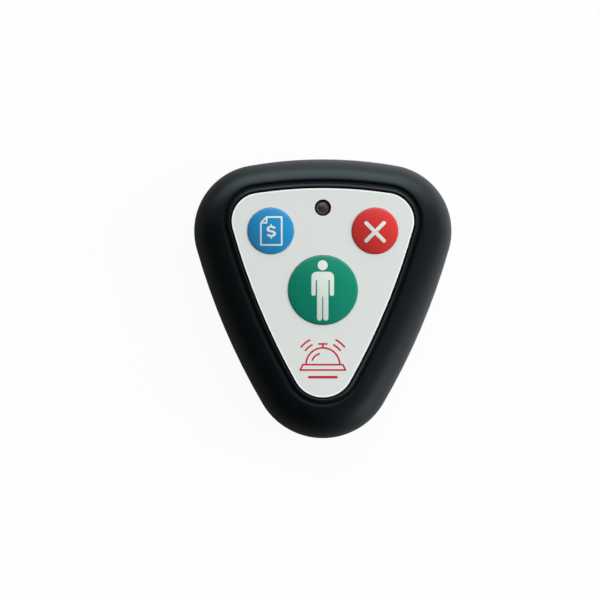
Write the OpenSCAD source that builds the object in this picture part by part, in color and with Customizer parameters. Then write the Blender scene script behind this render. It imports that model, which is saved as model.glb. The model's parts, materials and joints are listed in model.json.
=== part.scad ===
// Wireless table call button: a palm-sized transmitter with a bowed, rounded-triangle case,
// three push buttons and a signal lamp on its face, and a coin-cell hatch in its back.
// The face looks up (+Z), the lamp end points to +Y, and the feet stand on z = 0.
// The case's plan box is centred on the origin.

/* [Case] */
// Width of the case across its two upper corners
body_w = 72; // [70:0.5:80]
// Length of the case from the lamp end to the nose
body_l = 78; // [76:0.5:86]
// Radius of the two upper corners of the case
body_corner_r = 18.5; // [17:0.5:21]
// Radius of the nose of the case
body_nose_r = 19.6; // [18:0.1:22]
// Radius of the bowed edge at the lamp end of the case
body_end_arc_r = 118; // [90:1:200]
// Radius of the two bowed long edges of the case
body_side_arc_r = 187; // [140:1:300]
// Height of the parting line above the back face
parting_h = 4.2; // [4:0.1:5]
// Wall of the top cover
wall = 2; // [1.6:0.1:2.2]
// Thickness of the back floor
floor_t = 2; // [1.8:0.1:3]
// Radius of the rounded edge round the back
back_edge_r = 1.6; // [0.6:0.1:2]
// How far the bottom cover steps in at the parting line
parting_step = 0.25; // [0:0.05:0.5]
// Gap between the two covers at the parting line
parting_gap = 0.1; // [0.05:0.01:0.2]
// Thickness of the tongue that locates the two covers
tongue_t = 1; // [0.8:0.1:1.2]
// Height of the tongue above the parting line
tongue_h = 1.3; // [0.8:0.1:2]
// Play between pieces that fit into each other and stay put
fit_gap = 0.15; // [0.1:0.01:0.2]

/* [Face recess] */
// Thickness of the top cover under the faceplate
deck_t = 1.6; // [1.2:0.1:2.2]
// Gap between the faceplate and the raised lip
lip_gap = 0.35; // [0.2:0.05:0.6]
// Width of the raised lip round the faceplate
lip_w = 0.8; // [0.6:0.05:1]
// How far the lip's outer side leans in
lip_lean = 0.3; // [0:0.05:0.4]
// Height of the lip above the recess floor
lip_h = 0.95; // [0.8:0.05:1.4]
// Width of the groove outside the lip
groove_w = 1.2; // [0.6:0.05:1.4]
// Depth of the groove below the case's crest
groove_d = 0.6; // [0.2:0.05:0.8]
// Height of the case's crest above the recess floor
crest_h = 0.6; // [0.4:0.05:0.7]

/* [Faceplate] */
// Width of the faceplate
plate_w = 51.2; // [50:0.2:53]
// Length of the faceplate
plate_l = 58.7; // [57:0.1:60]
// How far the faceplate's middle lies towards the lamp end
plate_shift = 1.65; // [1:0.05:2.2]
// Radius of the faceplate's two upper corners
plate_corner_r = 8; // [7:0.1:10]
// Radius of the faceplate's nose
plate_nose_r = 8.8; // [8:0.1:10]
// Radius of the faceplate's bowed edge at the lamp end
plate_end_arc_r = 125; // [90:1:200]
// Radius of the faceplate's bowed long edges
plate_side_arc_r = 193; // [140:1:300]
// Thickness of the faceplate
plate_t = 0.6; // [0.4:0.05:0.8]
// Thickness of the adhesive under the faceplate
tape_t = 0.15; // [0.1:0.05:0.25]
// How far the adhesive stays back from the faceplate's edges
tape_back = 0.6; // [0.3:0.1:1]

/* [Buttons] */
// Radius of the large call button
call_r = 9.85; // [8:0.05:10.5]
// Distance of the call button from the middle, towards the lamp end
call_y = 2.4; // [1:0.1:4]
// How far the call button's crown stands above the faceplate
call_proud = 1.45; // [0.9:0.05:2]
// Radius of the two small buttons
side_r = 6.44; // [5:0.02:6.8]
// Distance of the small buttons from the middle line
side_x = 14.55; // [14:0.05:15.5]
// Distance of the small buttons from the middle, towards the lamp end
side_y = 18.9; // [18:0.1:19.5]
// How far a small button's crown stands above the faceplate
side_proud = 1.15; // [0.8:0.05:1.6]
// Height of the straight edge of a button above the faceplate
button_edge_h = 0.35; // [0.1:0.05:0.6]
// Radius of the rounded rim of a button
button_rim_r = 0.45; // [0.2:0.05:0.6]
// Gap round a button in its hole in the faceplate
button_gap = 0.1; // [0.08:0.01:0.2]
// Gap round a button in its hole in the top cover
deck_gap = 0.25; // [0.2:0.01:0.3]
// Wall of a button
button_wall = 1.2; // [1:0.1:1.6]
// Width of the flange that keeps a button in
flange_w = 1; // [0.7:0.1:1.2]
// Thickness of that flange
flange_t = 0.65; // [0.5:0.05:1]
// Gap between that flange and the deck above it
flange_gap = 0.2; // [0.15:0.01:0.3]
// Radius of the stem under a button
stem_r = 1.7; // [1.2:0.1:1.8]
// How far a button goes down
travel = 0.3; // [0.2:0.05:0.35]
// Radius of the pin that keeps a button from turning
guide_pin_r = 0.7; // [0.5:0.1:0.9]

/* [Switches] */
// Side of a switch's square housing
switch_w = 6.2; // [5.8:0.1:6.6]
// Height of a switch's housing with its cover
switch_h = 3.5; // [3.3:0.1:4]
// Thickness of a switch's steel cover
switch_cover_t = 0.3; // [0.2:0.05:0.4]
// Radius of the well that holds the snap dome
switch_well_r = 2.5; // [2.4:0.05:2.7]
// Depth of that well below the steel cover
switch_well_d = 1.6; // [1.5:0.1:1.8]
// Radius of a switch's plunger
plunger_r = 1.75; // [1.6:0.05:1.8]
// How far a plunger stands above its switch
plunger_proud = 0.5; // [0.45:0.05:0.8]
// Thickness of a snap dome
snap_t = 0.1; // [0.08:0.01:0.15]
// Rise of a snap dome
snap_rise = 0.5; // [0.4:0.05:0.6]
// Thickness of a switch's legs
switch_leg_t = 0.2; // [0.15:0.05:0.3]
// Reach of a switch's legs beyond its housing
switch_toe = 1.1; // [0.8:0.1:1.3]
// Distance between the two legs on one side of a switch
switch_leg_pitch = 4.5; // [4:0.1:5]

/* [Circuit board] */
// Thickness of the circuit board
board_t = 1.2; // [0.8:0.1:1.6]
// Room between the coin cell and the board
contact_room = 1.2; // [1:0.1:1.6]
// Gap between the board and the case's screw bosses
board_gap = 0.4; // [0.2:0.1:1]

/* [Lamp] */
// Distance of the lamp from the middle, towards the lamp end
lamp_y = 25.4; // [25:0.1:26]
// Radius of the lamp's lens
lamp_r = 1.5; // [1.2:0.05:1.6]
// Radius of the lamp's window in the faceplate
lamp_window_r = 2.2; // [2:0.05:2.6]
// How far the lamp's lens stays under the faceplate's surface
lamp_below = 0.15; // [0:0.05:0.5]
// Height of the lamp's lens with its foot
lamp_h = 5.3; // [4.5:0.1:5.6]
// Thickness of the lamp's legs
lamp_leg_t = 0.5; // [0.4:0.05:0.6]
// Distance between the lamp's legs
lamp_leg_pitch = 2.54; // [2:0.02:2.8]

/* [Coin cell] */
// Diameter of the coin cell
cell_d = 20; // [18:0.5:22]
// Thickness of the coin cell
cell_t = 3.2; // [2.5:0.1:3.6]
// Distance of the coin cell from the middle, towards the nose
cell_back = 2; // [0:0.5:3]
// Gap between the coin cell and its hatch
cell_gap = 0.2; // [0.1:0.05:0.4]
// Wall of the holder round the coin cell
holder_wall = 1.3; // [1:0.1:1.6]
// Thickness of the battery contacts
contact_t = 0.25; // [0.2:0.05:0.3]

/* [Battery hatch] */
// Thickness of the hatch's outer flange
hatch_flange_t = 1; // [0.9:0.1:1.1]
// Width of the hatch's outer flange beyond its plug
hatch_flange_w = 1.6; // [1.5:0.1:2]
// Wall of the ring that carries the hatch's lugs
hatch_ring_t = 1; // [0.8:0.1:1.4]
// Radial reach of a bayonet lug
lug_reach = 1.2; // [0.8:0.1:1.4]
// Thickness of a bayonet lug
lug_t = 1; // [0.8:0.1:1.2]
// Angle that a bayonet lug spans
lug_span = 26; // [18:1:30]
// Angle that the hatch turns to open
hatch_turn = 40; // [35:1:45]
// Length of the coin slot in the hatch
slot_l = 12; // [8:0.5:14]
// Width of the coin slot in the hatch
slot_w = 2; // [1.4:0.1:2.4]
// Depth of the coin slot in the hatch
slot_d = 1.1; // [0.8:0.1:1.3]
// Thickness of the hatch's sealing ring
seal_d = 0.7; // [0.5:0.05:0.75]

/* [Screws and feet] */
// Distance of the case screws from the centres of the case's corners
boss_out = 11; // [10.5:0.1:11.5]
// Radius of the case's screw bosses
boss_r = 3; // [2.8:0.1:3.2]
// Radius of the screws' shanks
screw_r = 1; // [0.8:0.05:1.1]
// Length of the case screws' shanks
case_screw_l = 8; // [6:0.5:9]
// Length of the board screws' shanks
board_screw_l = 4.8; // [4:0.1:5]
// Radius of the screws' heads
screw_head_r = 1.9; // [1.6:0.05:2]
// Thickness of the screws' heads
screw_head_t = 1.2; // [1:0.1:1.3]
// Radius of the pillars that carry the circuit board
pillar_r = 2.2; // [1.8:0.1:2.3]
// Distance of the upper board screws from the middle line
pillar_x = 6.8; // [6.4:0.1:7]
// Distance of the upper board screws from the middle, towards the lamp end
pillar_y = 25.3; // [25:0.1:25.6]
// Distance of the lower board screw from the middle, towards the nose
pillar_back = 18.5; // [18:0.1:19]
// Radius of the rubber feet
foot_r = 4.5; // [4:0.1:4.8]
// Thickness of the rubber feet
foot_t = 1.6; // [1.4:0.1:2]
// How far the feet stand out of the back
foot_proud = 0.8; // [0.6:0.1:1]

/* [Radio parts] */
// Gap between the radio's larger parts and the call button's switch
part_gap = 1.2; // [0.8:0.1:1.4]
// Distance of the two rows of small parts from the call button's middle
row_out = 8; // [7.4:0.1:8.4]
// Distance of the rows' outer parts from the middle line
row_half = 5.2; // [5:0.1:6]
// Radius of the antenna coil, to the middle of its wire
coil_r = 1.9; // [1.5:0.1:2]
// Radius of the antenna's wire
wire_r = 0.3; // [0.2:0.05:0.4]
// Distance between the antenna's turns
coil_pitch = 1.3; // [1.25:0.05:1.4]
// Number of the antenna's turns
coil_turns = 9; // [5:1:10]
// Radius of the resonator's can
can_r = 3.6; // [3:0.1:4]
// Height of the resonator's can
can_h = 3; // [2:0.1:3.2]

/* [Hidden] */
$fn = 72;
// How far a cut runs past the face that it opens.
eps = 0.05;

// Heights, from the feet up to the lip.
z_back = foot_proud;
z_floor = z_back + floor_t;
z_part = z_back + parting_h;
z_cell = z_floor + cell_gap;
z_cell_top = z_cell + cell_t;
z_board = z_cell_top + contact_room;
z_board_top = z_board + board_t;
z_switch_top = z_board_top + switch_h;
z_plunger_top = z_switch_top + plunger_proud;
flange_clear = 0.35;
z_flange = z_switch_top + travel + flange_clear;
z_deck_under = z_flange + flange_t + flange_gap;
z_recess = z_deck_under + deck_t;
z_plate = z_recess + tape_t;
z_face = z_plate + plate_t;
z_crest = z_recess + crest_h;
z_lip = z_recess + lip_h;

// Places of the buttons, the coin cell, the screws and the lamp.
call_pos = [0, call_y];
bill_pos = [-side_x, side_y];
cancel_pos = [side_x, side_y];
lamp_pos = [0, lamp_y];
cell_pos = [0, -cell_back];
cell_r = cell_d / 2;
KEYS = [[call_pos, call_r], [bill_pos, side_r], [cancel_pos, side_r]];
PILLARS = [[-pillar_x, pillar_y], [pillar_x, pillar_y], [0, -pillar_back]];

// An outline is [half width, length, shift, corner radius, nose radius, end arc, side arc].
BODY = [body_w / 2, body_l, 0, body_corner_r, body_nose_r, body_end_arc_r, body_side_arc_r];
PLATE = [plate_w / 2, plate_l, plate_shift, plate_corner_r, plate_nose_r,
         plate_end_arc_r, plate_side_arc_r];

// Centres of an outline's arcs: the bowed end, the right upper corner, the nose, the right side.
function corner_x(o) = o[0] - o[3];
function end_drop(o) = sqrt(pow(o[5] - o[3], 2) - pow(corner_x(o), 2));
function end_centre(o) = [0, o[1] / 2 + o[2] - o[5]];
function corner_centre(o) = end_centre(o) + [corner_x(o), end_drop(o)];
function nose_centre(o) = [0, o[2] - o[1] / 2 + o[4]];
function side_centre(o) =
    let (c = corner_centre(o), n = nose_centre(o), p = o[6] - o[3], q = o[6] - o[4],
         d = norm(n - c), u = (n - c) / d, a = (p * p - q * q + d * d) / (2 * d))
    c + a * u + sqrt(p * p - a * a) * [u[1], -u[0]];
function heading(v) = atan2(v[1], v[0]);
function arc(c, r, from, to, steps) =
    [for (i = [0 : steps - 1]) let (a = from + (to - from) * i / steps) c + r * [cos(a), sin(a)]];

// The outline's points, anticlockwise from the nose, moved outwards by d all round.
function right_half(o, d) =
    let (e = end_centre(o), c = corner_centre(o), n = nose_centre(o), s = side_centre(o),
         at_nose = heading(n - s), at_corner = heading(c - s), at_end = heading(c - e))
    concat(arc(n, o[4] + d, -90, at_nose, 12), arc(s, o[6] + d, at_nose, at_corner, 6),
           arc(c, o[3] + d, at_corner, at_end, 14), arc(e, o[5] + d, at_end, 90, 5),
           [e + [0, o[5] + d]]);
function outline(o, d = 0) =
    let (r = right_half(o, d))
    concat(r, [for (i = [len(r) - 2 : -1 : 1]) [-r[i][0], r[i][1]]]);

// Screw places: out from the centres of the case's corners, away from its middle.
function away(c, d) = c + d * [c[0] == 0 ? 0 : sign(c[0]) * sin(45), c[0] == 0 ? -1 : sin(45)];
boss_right = away(corner_centre(BODY), boss_out);
boss_nose = away(nose_centre(BODY), boss_out);
BOSSES = [boss_right, [-boss_right[0], boss_right[1]], boss_nose];

// The board keeps off the bosses, so its edge runs inside the faceplate's by this much.
board_inset = max(plate_corner_r - norm(boss_right - corner_centre(PLATE)),
                  plate_nose_r - norm(boss_nose - nose_centre(PLATE))) + boss_r + board_gap;

// A closed solid through rings of equal point counts, capped at both ends.
module skin(rings) {
    n = len(rings[0]);
    sides = [for (k = [0 : len(rings) - 2], i = [0 : n - 1]) let (j = (i + 1) % n)
        each [[k * n + i, (k + 1) * n + i, (k + 1) * n + j],
              [k * n + i, (k + 1) * n + j, k * n + j]]];
    first = [for (i = [0 : n - 1]) i];
    last = [for (i = [n - 1 : -1 : 0]) (len(rings) - 1) * n + i];
    polyhedron([for (r = rings) each r], concat([first], sides, [last]));
}

function raise(points, z) = [for (p = points) [p[0], p[1], z]];
function between(p, q, f, z) =
    [for (i = [0 : len(p) - 1]) let (m = p[i] + (q[i] - p[i]) * f) [m[0], m[1], z]];

// The shoulder climbs from one outline to another as a full quarter curve, past a low
// straight wall. Its steps give the share of the way in and the share of the way up.
shoulder_steps = 9;
shoulder_power = 0.92;
function way_in(i) = 1 - pow(cos(90 * i / shoulder_steps), shoulder_power);
function way_up(i) = pow(sin(90 * i / shoulder_steps), shoulder_power);
function shoulder(low, high, z0, z1) =
    [for (i = [0 : shoulder_steps]) between(low, high, way_in(i), z0 + (z1 - z0) * way_up(i))];

module plate_shape(d) {
    polygon(outline(PLATE, d));
}

module body_shape(d) {
    polygon(outline(BODY, d));
}

module at(pos, z = 0) {
    translate([pos[0], pos[1], z]) children();
}

// Where a button's guide pin stands: on its flange's edge, towards the nose.
function pin_place(key) = key[0] - [0, key[1] + flange_w];

module top_cover() {
    lip_in = lip_gap;
    lip_out = lip_in + lip_w;
    groove_out = lip_out + groove_w;
    flare = 0.12;
    inner_top = outline(PLATE, lip_in);
    inner_low = outline(BODY, -wall);
    outer_low = outline(BODY);
    outer_top = outline(PLATE, groove_out);
    inside = shoulder(inner_low, inner_top, z_part, z_deck_under);
    outside = shoulder(outer_low, outer_top, z_part, z_crest);
    groove = [for (a = [36 : 36 : 180])
        raise(outline(PLATE, lip_out + groove_w / 2 * (1 + cos(a))), z_crest - groove_d * sin(a))];
    lip = [
        raise(outline(PLATE, lip_out - lip_lean), z_lip - flare),
        raise(outline(PLATE, lip_out - lip_lean - flare), z_lip),
        raise(outline(PLATE, lip_in + flare), z_lip),
        raise(outline(PLATE, lip_in), z_lip - flare),
        raise(outline(PLATE, lip_in), z_recess)
    ];
    boss_z = z_part + tongue_h - fit_gap;
    boss_top = z_deck_under + deck_t / 4;
    color("#1b1d20") difference() {
        union() {
            skin(concat([for (i = [shoulder_steps : -1 : 0]) inside[i]], outside, groove, lip));
            for (b = BOSSES) at(b, boss_z) cylinder(r = boss_r, h = boss_top - boss_z);
            for (p = PILLARS) at(p, z_board_top) cylinder(r = pillar_r, h = boss_top - z_board_top);
            for (key = KEYS) at(pin_place(key), z_flange)
                cylinder(r = guide_pin_r, h = boss_top - z_flange, $fn = 24);
        }
        for (key = KEYS) at(key[0], z_flange) cylinder(r = key[1] + deck_gap, h = z_lip);
        at(lamp_pos, z_deck_under - eps) cylinder(r = lamp_r + deck_gap, h = deck_t + 2 * eps);
        for (b = BOSSES) at(b, boss_z - eps)
            cylinder(r = screw_r + screw_play, h = case_screw_z + case_screw_l + 2 * fit_gap - boss_z);
        for (p = PILLARS) at(p, z_board_top - eps)
            cylinder(r = screw_r + screw_play, h = board_screw_l - board_t + 2 * fit_gap);
    }
}

// The case screws' heads sit just above the feet, sunk into the bottom cover.
screw_play = 0.02;
counterbore_r = screw_head_r + 2 * fit_gap;
case_screw_z = foot_t + fit_gap + screw_head_t;

// Radii of the hatch and of the seats that it turns in.
hatch_play = 0.2;
hatch_bore_r = cell_r + 2 * cell_gap;
plug_r = hatch_bore_r + hatch_ring_t;
hatch_r = plug_r + hatch_flange_w;
lug_r = plug_r + lug_reach;
ledge_r = plug_r + hatch_play;
track_r = lug_r + hatch_play;
track_wall = 1.1;

// The lugs slide on the floor inside, each with this much play at the ends of its track.
lug_z = z_floor + hatch_play / 2;
lug_top = lug_z + lug_t;
lug_play = 2;
LUG_ANGLES = [90, 210, 330];

// A slice of a ring from radius r0 to r1, over the given angles.
module ring_slice(r0, r1, from, to, z0, z1) {
    rotate([0, 0, from]) translate([0, 0, z0])
        rotate_extrude(angle = to - from) translate([r0, 0]) square([r1 - r0, z1 - z0]);
}

module bottom_cover() {
    cavity_d = -wall - fit_gap - tongue_t;
    z_rim = z_part - parting_gap;
    z_pillar = z_part + tongue_h - 2 * fit_gap;
    pillar_flare = 0.4;
    edge = [for (a = [0 : 22.5 : 90])
        raise(outline(BODY, -parting_step - back_edge_r * (1 - sin(a))),
              z_back + back_edge_r * (1 - cos(a)))];
    color("#17181b") difference() {
        union() {
            difference() {
                skin(concat(edge, [raise(outline(BODY, -parting_step), z_rim)]));
                translate([0, 0, z_floor]) linear_extrude(z_part) body_shape(cavity_d);
            }
            translate([0, 0, z_rim - tongue_t]) linear_extrude(tongue_t + tongue_h) difference() {
                body_shape(cavity_d + tongue_t);
                body_shape(cavity_d);
            }
            for (b = BOSSES) at(b, z_floor - eps) cylinder(r = boss_r + pillar_flare, h = z_pillar - z_floor);
            at(cell_pos, z_floor - eps) cylinder(r = track_r + track_wall, h = lug_top - z_floor);
        }
        for (b = BOSSES) {
            at(b, z_back - eps) cylinder(r = foot_r + fit_gap, h = foot_t - z_back + eps);
            at(b, z_back) cylinder(r = counterbore_r, h = case_screw_z - z_back);
            at(b, z_back) cylinder(r = screw_r + fit_gap, h = z_part + tongue_h);
        }
        at(cell_pos) {
            translate([0, 0, z_back - eps])
                cylinder(r = hatch_r + hatch_play, h = hatch_flange_t + hatch_play + eps);
            translate([0, 0, z_back]) cylinder(r = ledge_r, h = z_part);
            for (a = LUG_ANGLES) {
                ring_slice(plug_r, track_r, a - hatch_turn - lug_span / 2 - lug_play,
                           a - hatch_turn + lug_span / 2 + lug_play, z_back + hatch_flange_t, z_part);
                ring_slice(plug_r, track_r, a - hatch_turn - lug_span / 2 - lug_play,
                           a + lug_span / 2 + lug_play, z_floor, z_part);
            }
        }
    }
}

// The sealing ring lies in a groove in the middle of the hatch's flange.
seal_r = plug_r + hatch_flange_w / 2;
seal_play = 0.1;

module battery_hatch() {
    groove_half = seal_d / 2 + seal_play;
    color("#202226") at(cell_pos) difference() {
        union() {
            translate([0, 0, z_back]) cylinder(r = hatch_r, h = hatch_flange_t);
            translate([0, 0, z_back]) cylinder(r = plug_r, h = lug_top - z_back);
            for (a = LUG_ANGLES)
                ring_slice(plug_r - hatch_ring_t / 2, lug_r, a - lug_span / 2, a + lug_span / 2,
                           lug_z, lug_top);
        }
        translate([0, 0, z_floor]) cylinder(r = hatch_bore_r, h = lug_top);
        translate([-slot_l / 2, -slot_w / 2, z_back - eps]) cube([slot_l, slot_w, slot_d + eps]);
        rotate_extrude() translate([seal_r - groove_half, z_back + hatch_flange_t - seal_d + fit_gap])
            square([2 * groove_half, seal_d]);
    }
}

module hatch_seal() {
    z = z_back + hatch_flange_t + fit_gap - seal_d / 2;
    color("#3a3d40") at(cell_pos) rotate_extrude()
        translate([seal_r, z]) circle(d = seal_d, $fn = 24);
}

module faceplate() {
    color("#dfe4e1") translate([0, 0, z_plate]) linear_extrude(plate_t) difference() {
        plate_shape(0);
        for (key = KEYS) at(key[0]) circle(r = key[1] + button_gap);
        at(lamp_pos) circle(r = lamp_window_r);
    }
}

module faceplate_tape() {
    color("#c9b98a") translate([0, 0, z_recess]) linear_extrude(tape_t) difference() {
        plate_shape(-tape_back);
        for (key = KEYS) at(key[0]) circle(r = key[1] + button_gap + tape_back);
        at(lamp_pos) circle(r = lamp_window_r + tape_back);
    }
}

// Half of a button's outside: a rounded rim and a shallow crown, from the rim to the middle.
function crown_profile(r, proud) =
    let (rise = proud - button_edge_h, big = (r * r + rise * rise) / (2 * rise),
         edge_a = asin((r - button_rim_r) / big), steps = 8)
    concat([for (i = [0 : 3]) let (a = i * 22.5)
                [r - button_rim_r + button_rim_r * cos(a),
                 z_face + button_edge_h - button_rim_r + button_rim_r * sin(a)]],
           [for (i = [0 : steps]) let (a = edge_a * (1 - i / steps))
                [big * sin(a), z_face + proud - big * (1 - cos(a))]]);

// A button's stem just clears its plunger at rest.
stem_gap = 0.02;

module button(pos, r, proud, tint) {
    bore_r = r - button_wall;
    bore_top = z_face + button_edge_h - button_wall;
    stem_z = z_plunger_top + stem_gap;
    profile = concat([[bore_r, z_flange], [r + flange_w, z_flange],
                      [r + flange_w, z_flange + flange_t], [r, z_flange + flange_t]],
                     crown_profile(r, proud),
                     [[0, stem_z], [stem_r, stem_z], [stem_r, bore_top], [bore_r, bore_top]]);
    color(tint) difference() {
        at(pos) rotate_extrude() polygon(profile);
        at(pin_place([pos, r]), z_flange - eps)
            cylinder(r = guide_pin_r + deck_gap, h = flange_t + 2 * eps, $fn = 24);
    }
}

// Inside a switch's well: its floor, its lid and the play of the pieces in it.
well_floor = z_switch_top - switch_cover_t - switch_well_d;
well_lid = z_switch_top - switch_cover_t;
well_play = 0.2;
snap_z = well_floor + well_play / 4;

module plunger(pos) {
    collar_r = switch_well_r - well_play;
    z0 = snap_z + snap_rise + snap_t + well_play / 4;
    collar_top = well_lid - well_play / 2;
    color("#d8d6cf") at(pos) union() {
        translate([0, 0, z0]) cylinder(r = plunger_r, h = z_plunger_top - z0, $fn = 48);
        translate([0, 0, z0]) cylinder(r = collar_r, h = collar_top - z0, $fn = 48);
    }
}

module snap_dome(pos) {
    r = switch_well_r - well_play;
    big = (r * r + snap_rise * snap_rise) / (2 * snap_rise);
    lean = asin(r / big);
    steps = 6;
    low = [for (i = [0 : steps]) let (a = lean * i / steps)
        [big * sin(a), snap_z + snap_rise - big * (1 - cos(a))]];
    high = [for (i = [steps : -1 : 0]) [low[i][0], low[i][1] + snap_t]];
    color("#c9ccd0") at(pos) rotate_extrude($fn = 48) polygon(concat(low, high));
}

module switch_bases() {
    h = switch_h - switch_cover_t;
    color("#151617") for (key = KEYS) at(key[0], z_board_top) difference() {
        translate([-switch_w / 2, -switch_w / 2, 0]) cube([switch_w, switch_w, h]);
        translate([0, 0, h - switch_well_d]) cylinder(r = switch_well_r, h = switch_well_d + eps, $fn = 48);
    }
}

module switch_covers() {
    color("#c4c7ca") for (key = KEYS) at(key[0], z_switch_top - switch_cover_t) difference() {
        translate([-switch_w / 2, -switch_w / 2, 0]) cube([switch_w, switch_w, switch_cover_t]);
        translate([0, 0, -eps]) cylinder(r = plunger_r + fit_gap, h = switch_cover_t + 2 * eps, $fn = 48);
    }
}

module switch_legs() {
    leg_w = 0.8;
    rise = switch_h / 2;
    color("#cfd1d3") for (key = KEYS, side = [-1, 1], end = [-1, 1]) at(key[0], z_board_top)
        translate([side * switch_w / 2, (end * switch_leg_pitch + leg_w) / 2, 0]) rotate([90, 0, 0])
            linear_extrude(leg_w) polygon([
                [0, 0], [side * switch_toe, 0], [side * switch_toe, switch_leg_t],
                [side * switch_leg_t, switch_leg_t], [side * switch_leg_t, rise], [0, rise]]);
}

module circuit_board() {
    color("#1f5c3a") translate([0, 0, z_board]) linear_extrude(board_t) difference() {
        plate_shape(-board_inset);
        for (p = PILLARS) at(p) circle(r = screw_r + fit_gap, $fn = 36);
        for (s = [-1, 1]) at(lamp_pos + [s * lamp_leg_pitch / 2, 0]) circle(r = lamp_leg_t, $fn = 24);
    }
}

lamp_z = z_face - lamp_below - lamp_h;
lamp_foot_r = lamp_r + 0.4;

module lamp() {
    foot_h = 1;
    straight = lamp_h - lamp_r;
    dome = [for (a = [0 : 10 : 90]) lamp_r * [cos(a), sin(a)] + [0, straight]];
    profile = concat([[0, 0], [lamp_foot_r, 0], [lamp_foot_r, foot_h], [lamp_r, foot_h]], dome);
    color("#6b2a2c") at(lamp_pos, lamp_z) rotate_extrude($fn = 48) polygon(profile);
}

module lamp_legs() {
    leg_below = 1;
    z0 = z_board - leg_below;
    color("#cfd1d3") for (s = [-1, 1])
        at(lamp_pos + [s * lamp_leg_pitch / 2 - lamp_leg_t / 2, -lamp_leg_t / 2], z0)
            cube([lamp_leg_t, lamp_leg_t, lamp_z - z0]);
}

// The radio's parts lie on the board's upper face, round the call button's switch: the chip on
// its left, the resonator on its right, and a row of small parts at each end of it.
chip = [3.9, 4.9, 1.5];
pin_toe = 1.05;
can_rim_w = 0.5;
beside_switch = switch_w / 2 + switch_toe + part_gap;
chip_pos = [-beside_switch - pin_toe - chip[0] / 2, call_y];
can_pos = [beside_switch + can_rim_w + can_r, call_y];

module encoder_chip() {
    lift = 0.12;
    dot_r = 0.35;
    dot_in = 0.8;
    dot_d = 0.1;
    color("#202224") at(chip_pos, z_board_top + lift) difference() {
        translate([-chip[0] / 2, -chip[1] / 2, 0]) cube(chip);
        translate([dot_in - chip[0] / 2, chip[1] / 2 - dot_in, chip[2] - dot_d])
            cylinder(r = dot_r, h = dot_d + eps, $fn = 24);
    }
}

module encoder_pins() {
    pin_w = 0.42;
    pin_t = 0.2;
    pitch = 1.27;
    rise = chip[2] / 2;
    knee = 0.35;
    color("#cfd1d3") for (side = [-1, 1], k = [-1.5 : 1.5])
        at(chip_pos, z_board_top) translate([side * chip[0] / 2, k * pitch + pin_w / 2, 0])
            rotate([90, 0, 0]) linear_extrude(pin_w) polygon([
                [0, rise], [side * (knee - pin_t), rise], [side * (knee - pin_t), 0], [side * pin_toe, 0],
                [side * pin_toe, pin_t], [side * knee, pin_t], [side * knee, rise + pin_t],
                [0, rise + pin_t]]);
}

module resonator_can() {
    rim_h = 0.4;
    bevel = 0.3;
    color("#b9bcc0") at(can_pos, z_board_top) rotate_extrude() polygon([
        [0, 0], [can_r + can_rim_w, 0], [can_r + can_rim_w, rim_h], [can_r, rim_h],
        [can_r, can_h - bevel], [can_r - bevel, can_h], [0, can_h]]);
}

module transistor() {
    body = [2.9, 1.3, 1];
    leg = [0.4, 0.6, 0.15];
    leg_pitch = 0.95;
    lift = 0.05;
    color("#232527") at([-row_half, call_y - row_out], z_board_top) union() {
        translate([-body[0] / 2, -body[1] / 2, lift]) cube(body);
        for (s = [-1, 1])
            translate([s * leg_pitch - leg[0] / 2, -body[1] / 2 - leg[1] + eps, 0]) cube(leg);
        translate([-leg[0] / 2, body[1] / 2 - eps, 0]) cube(leg);
    }
}

// The small parts' places, each with its turn in degrees.
small_chip = [2, 1.25, 0.5];
tall_chip = [2, 1.25, 0.9];
chip_pair_out = chip[1] / 2 + part_gap + small_chip[1] / 2;
lamp_side_x = (lamp_foot_r + pillar_x - pillar_r) / 2;
RESISTOR_PLACES = [
    [chip_pos - [0, chip_pair_out], 0], [chip_pos + [0, chip_pair_out], 0],
    [[lamp_side_x, lamp_y], 90], [[-row_half, call_y + row_out], 0]
];
CAPACITOR_PLACES = [
    [[row_half, call_y - row_out], 0], [[row_half, call_y + row_out], 0],
    [[row_half / 4, call_y - row_out], 90], [[-row_half / 4, call_y - row_out], 90]
];

module chip_part(place, size) {
    at(place[0], z_board_top) rotate([0, 0, place[1]]) translate([-size[0] / 2, -size[1] / 2, 0]) cube(size);
}

module resistors() {
    color("#2b2d30") for (p = RESISTOR_PLACES) chip_part(p, small_chip);
}

module capacitors() {
    color("#a9835a") for (p = CAPACITOR_PLACES) chip_part(p, tall_chip);
}

// The antenna: one wire wound about X, with a straight leg at each end down to the board.
coil_lift = 0.3;
coil_clear = 0.8;
coil_z = z_board_top + coil_r + wire_r + coil_lift;
coil_y = -pillar_back + pillar_r + coil_r + wire_r + coil_clear;
coil_half = coil_pitch * coil_turns / 2;
ring_steps = 8;
function coil_point(i) =
    let (a = 360 * i / ring_steps)
    [-coil_half + coil_pitch * i / ring_steps, coil_y + coil_r * sin(a), coil_z - coil_r * cos(a)];
COIL_PATH = concat([[-coil_half, coil_y, z_board_top]],
                   [for (i = [0 : coil_turns * ring_steps]) coil_point(i)],
                   [[coil_half, coil_y, z_board_top]]);
coil_sides = 6;

function unit(v) = v / norm(v);
function tangent(p, i) = unit(p[min(i + 1, len(p) - 1)] - p[max(i - 1, 0)]);
// A ring of the wire, square to its way; its two legs stand square on the board.
function wire_ring(p, i) =
    let (along = i == 0 ? [0, 0, 1] : i == len(p) - 1 ? [0, 0, -1] : tangent(p, i),
         side = unit(cross(along, [1, 0, 0])), up = cross(along, side))
    [for (k = [0 : coil_sides - 1]) let (a = 360 * k / coil_sides)
        p[i] + wire_r * (cos(a) * side + sin(a) * up)];

module antenna_coil() {
    color("#b87333") skin([for (i = [0 : len(COIL_PATH) - 1]) wire_ring(COIL_PATH, i)]);
}

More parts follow.
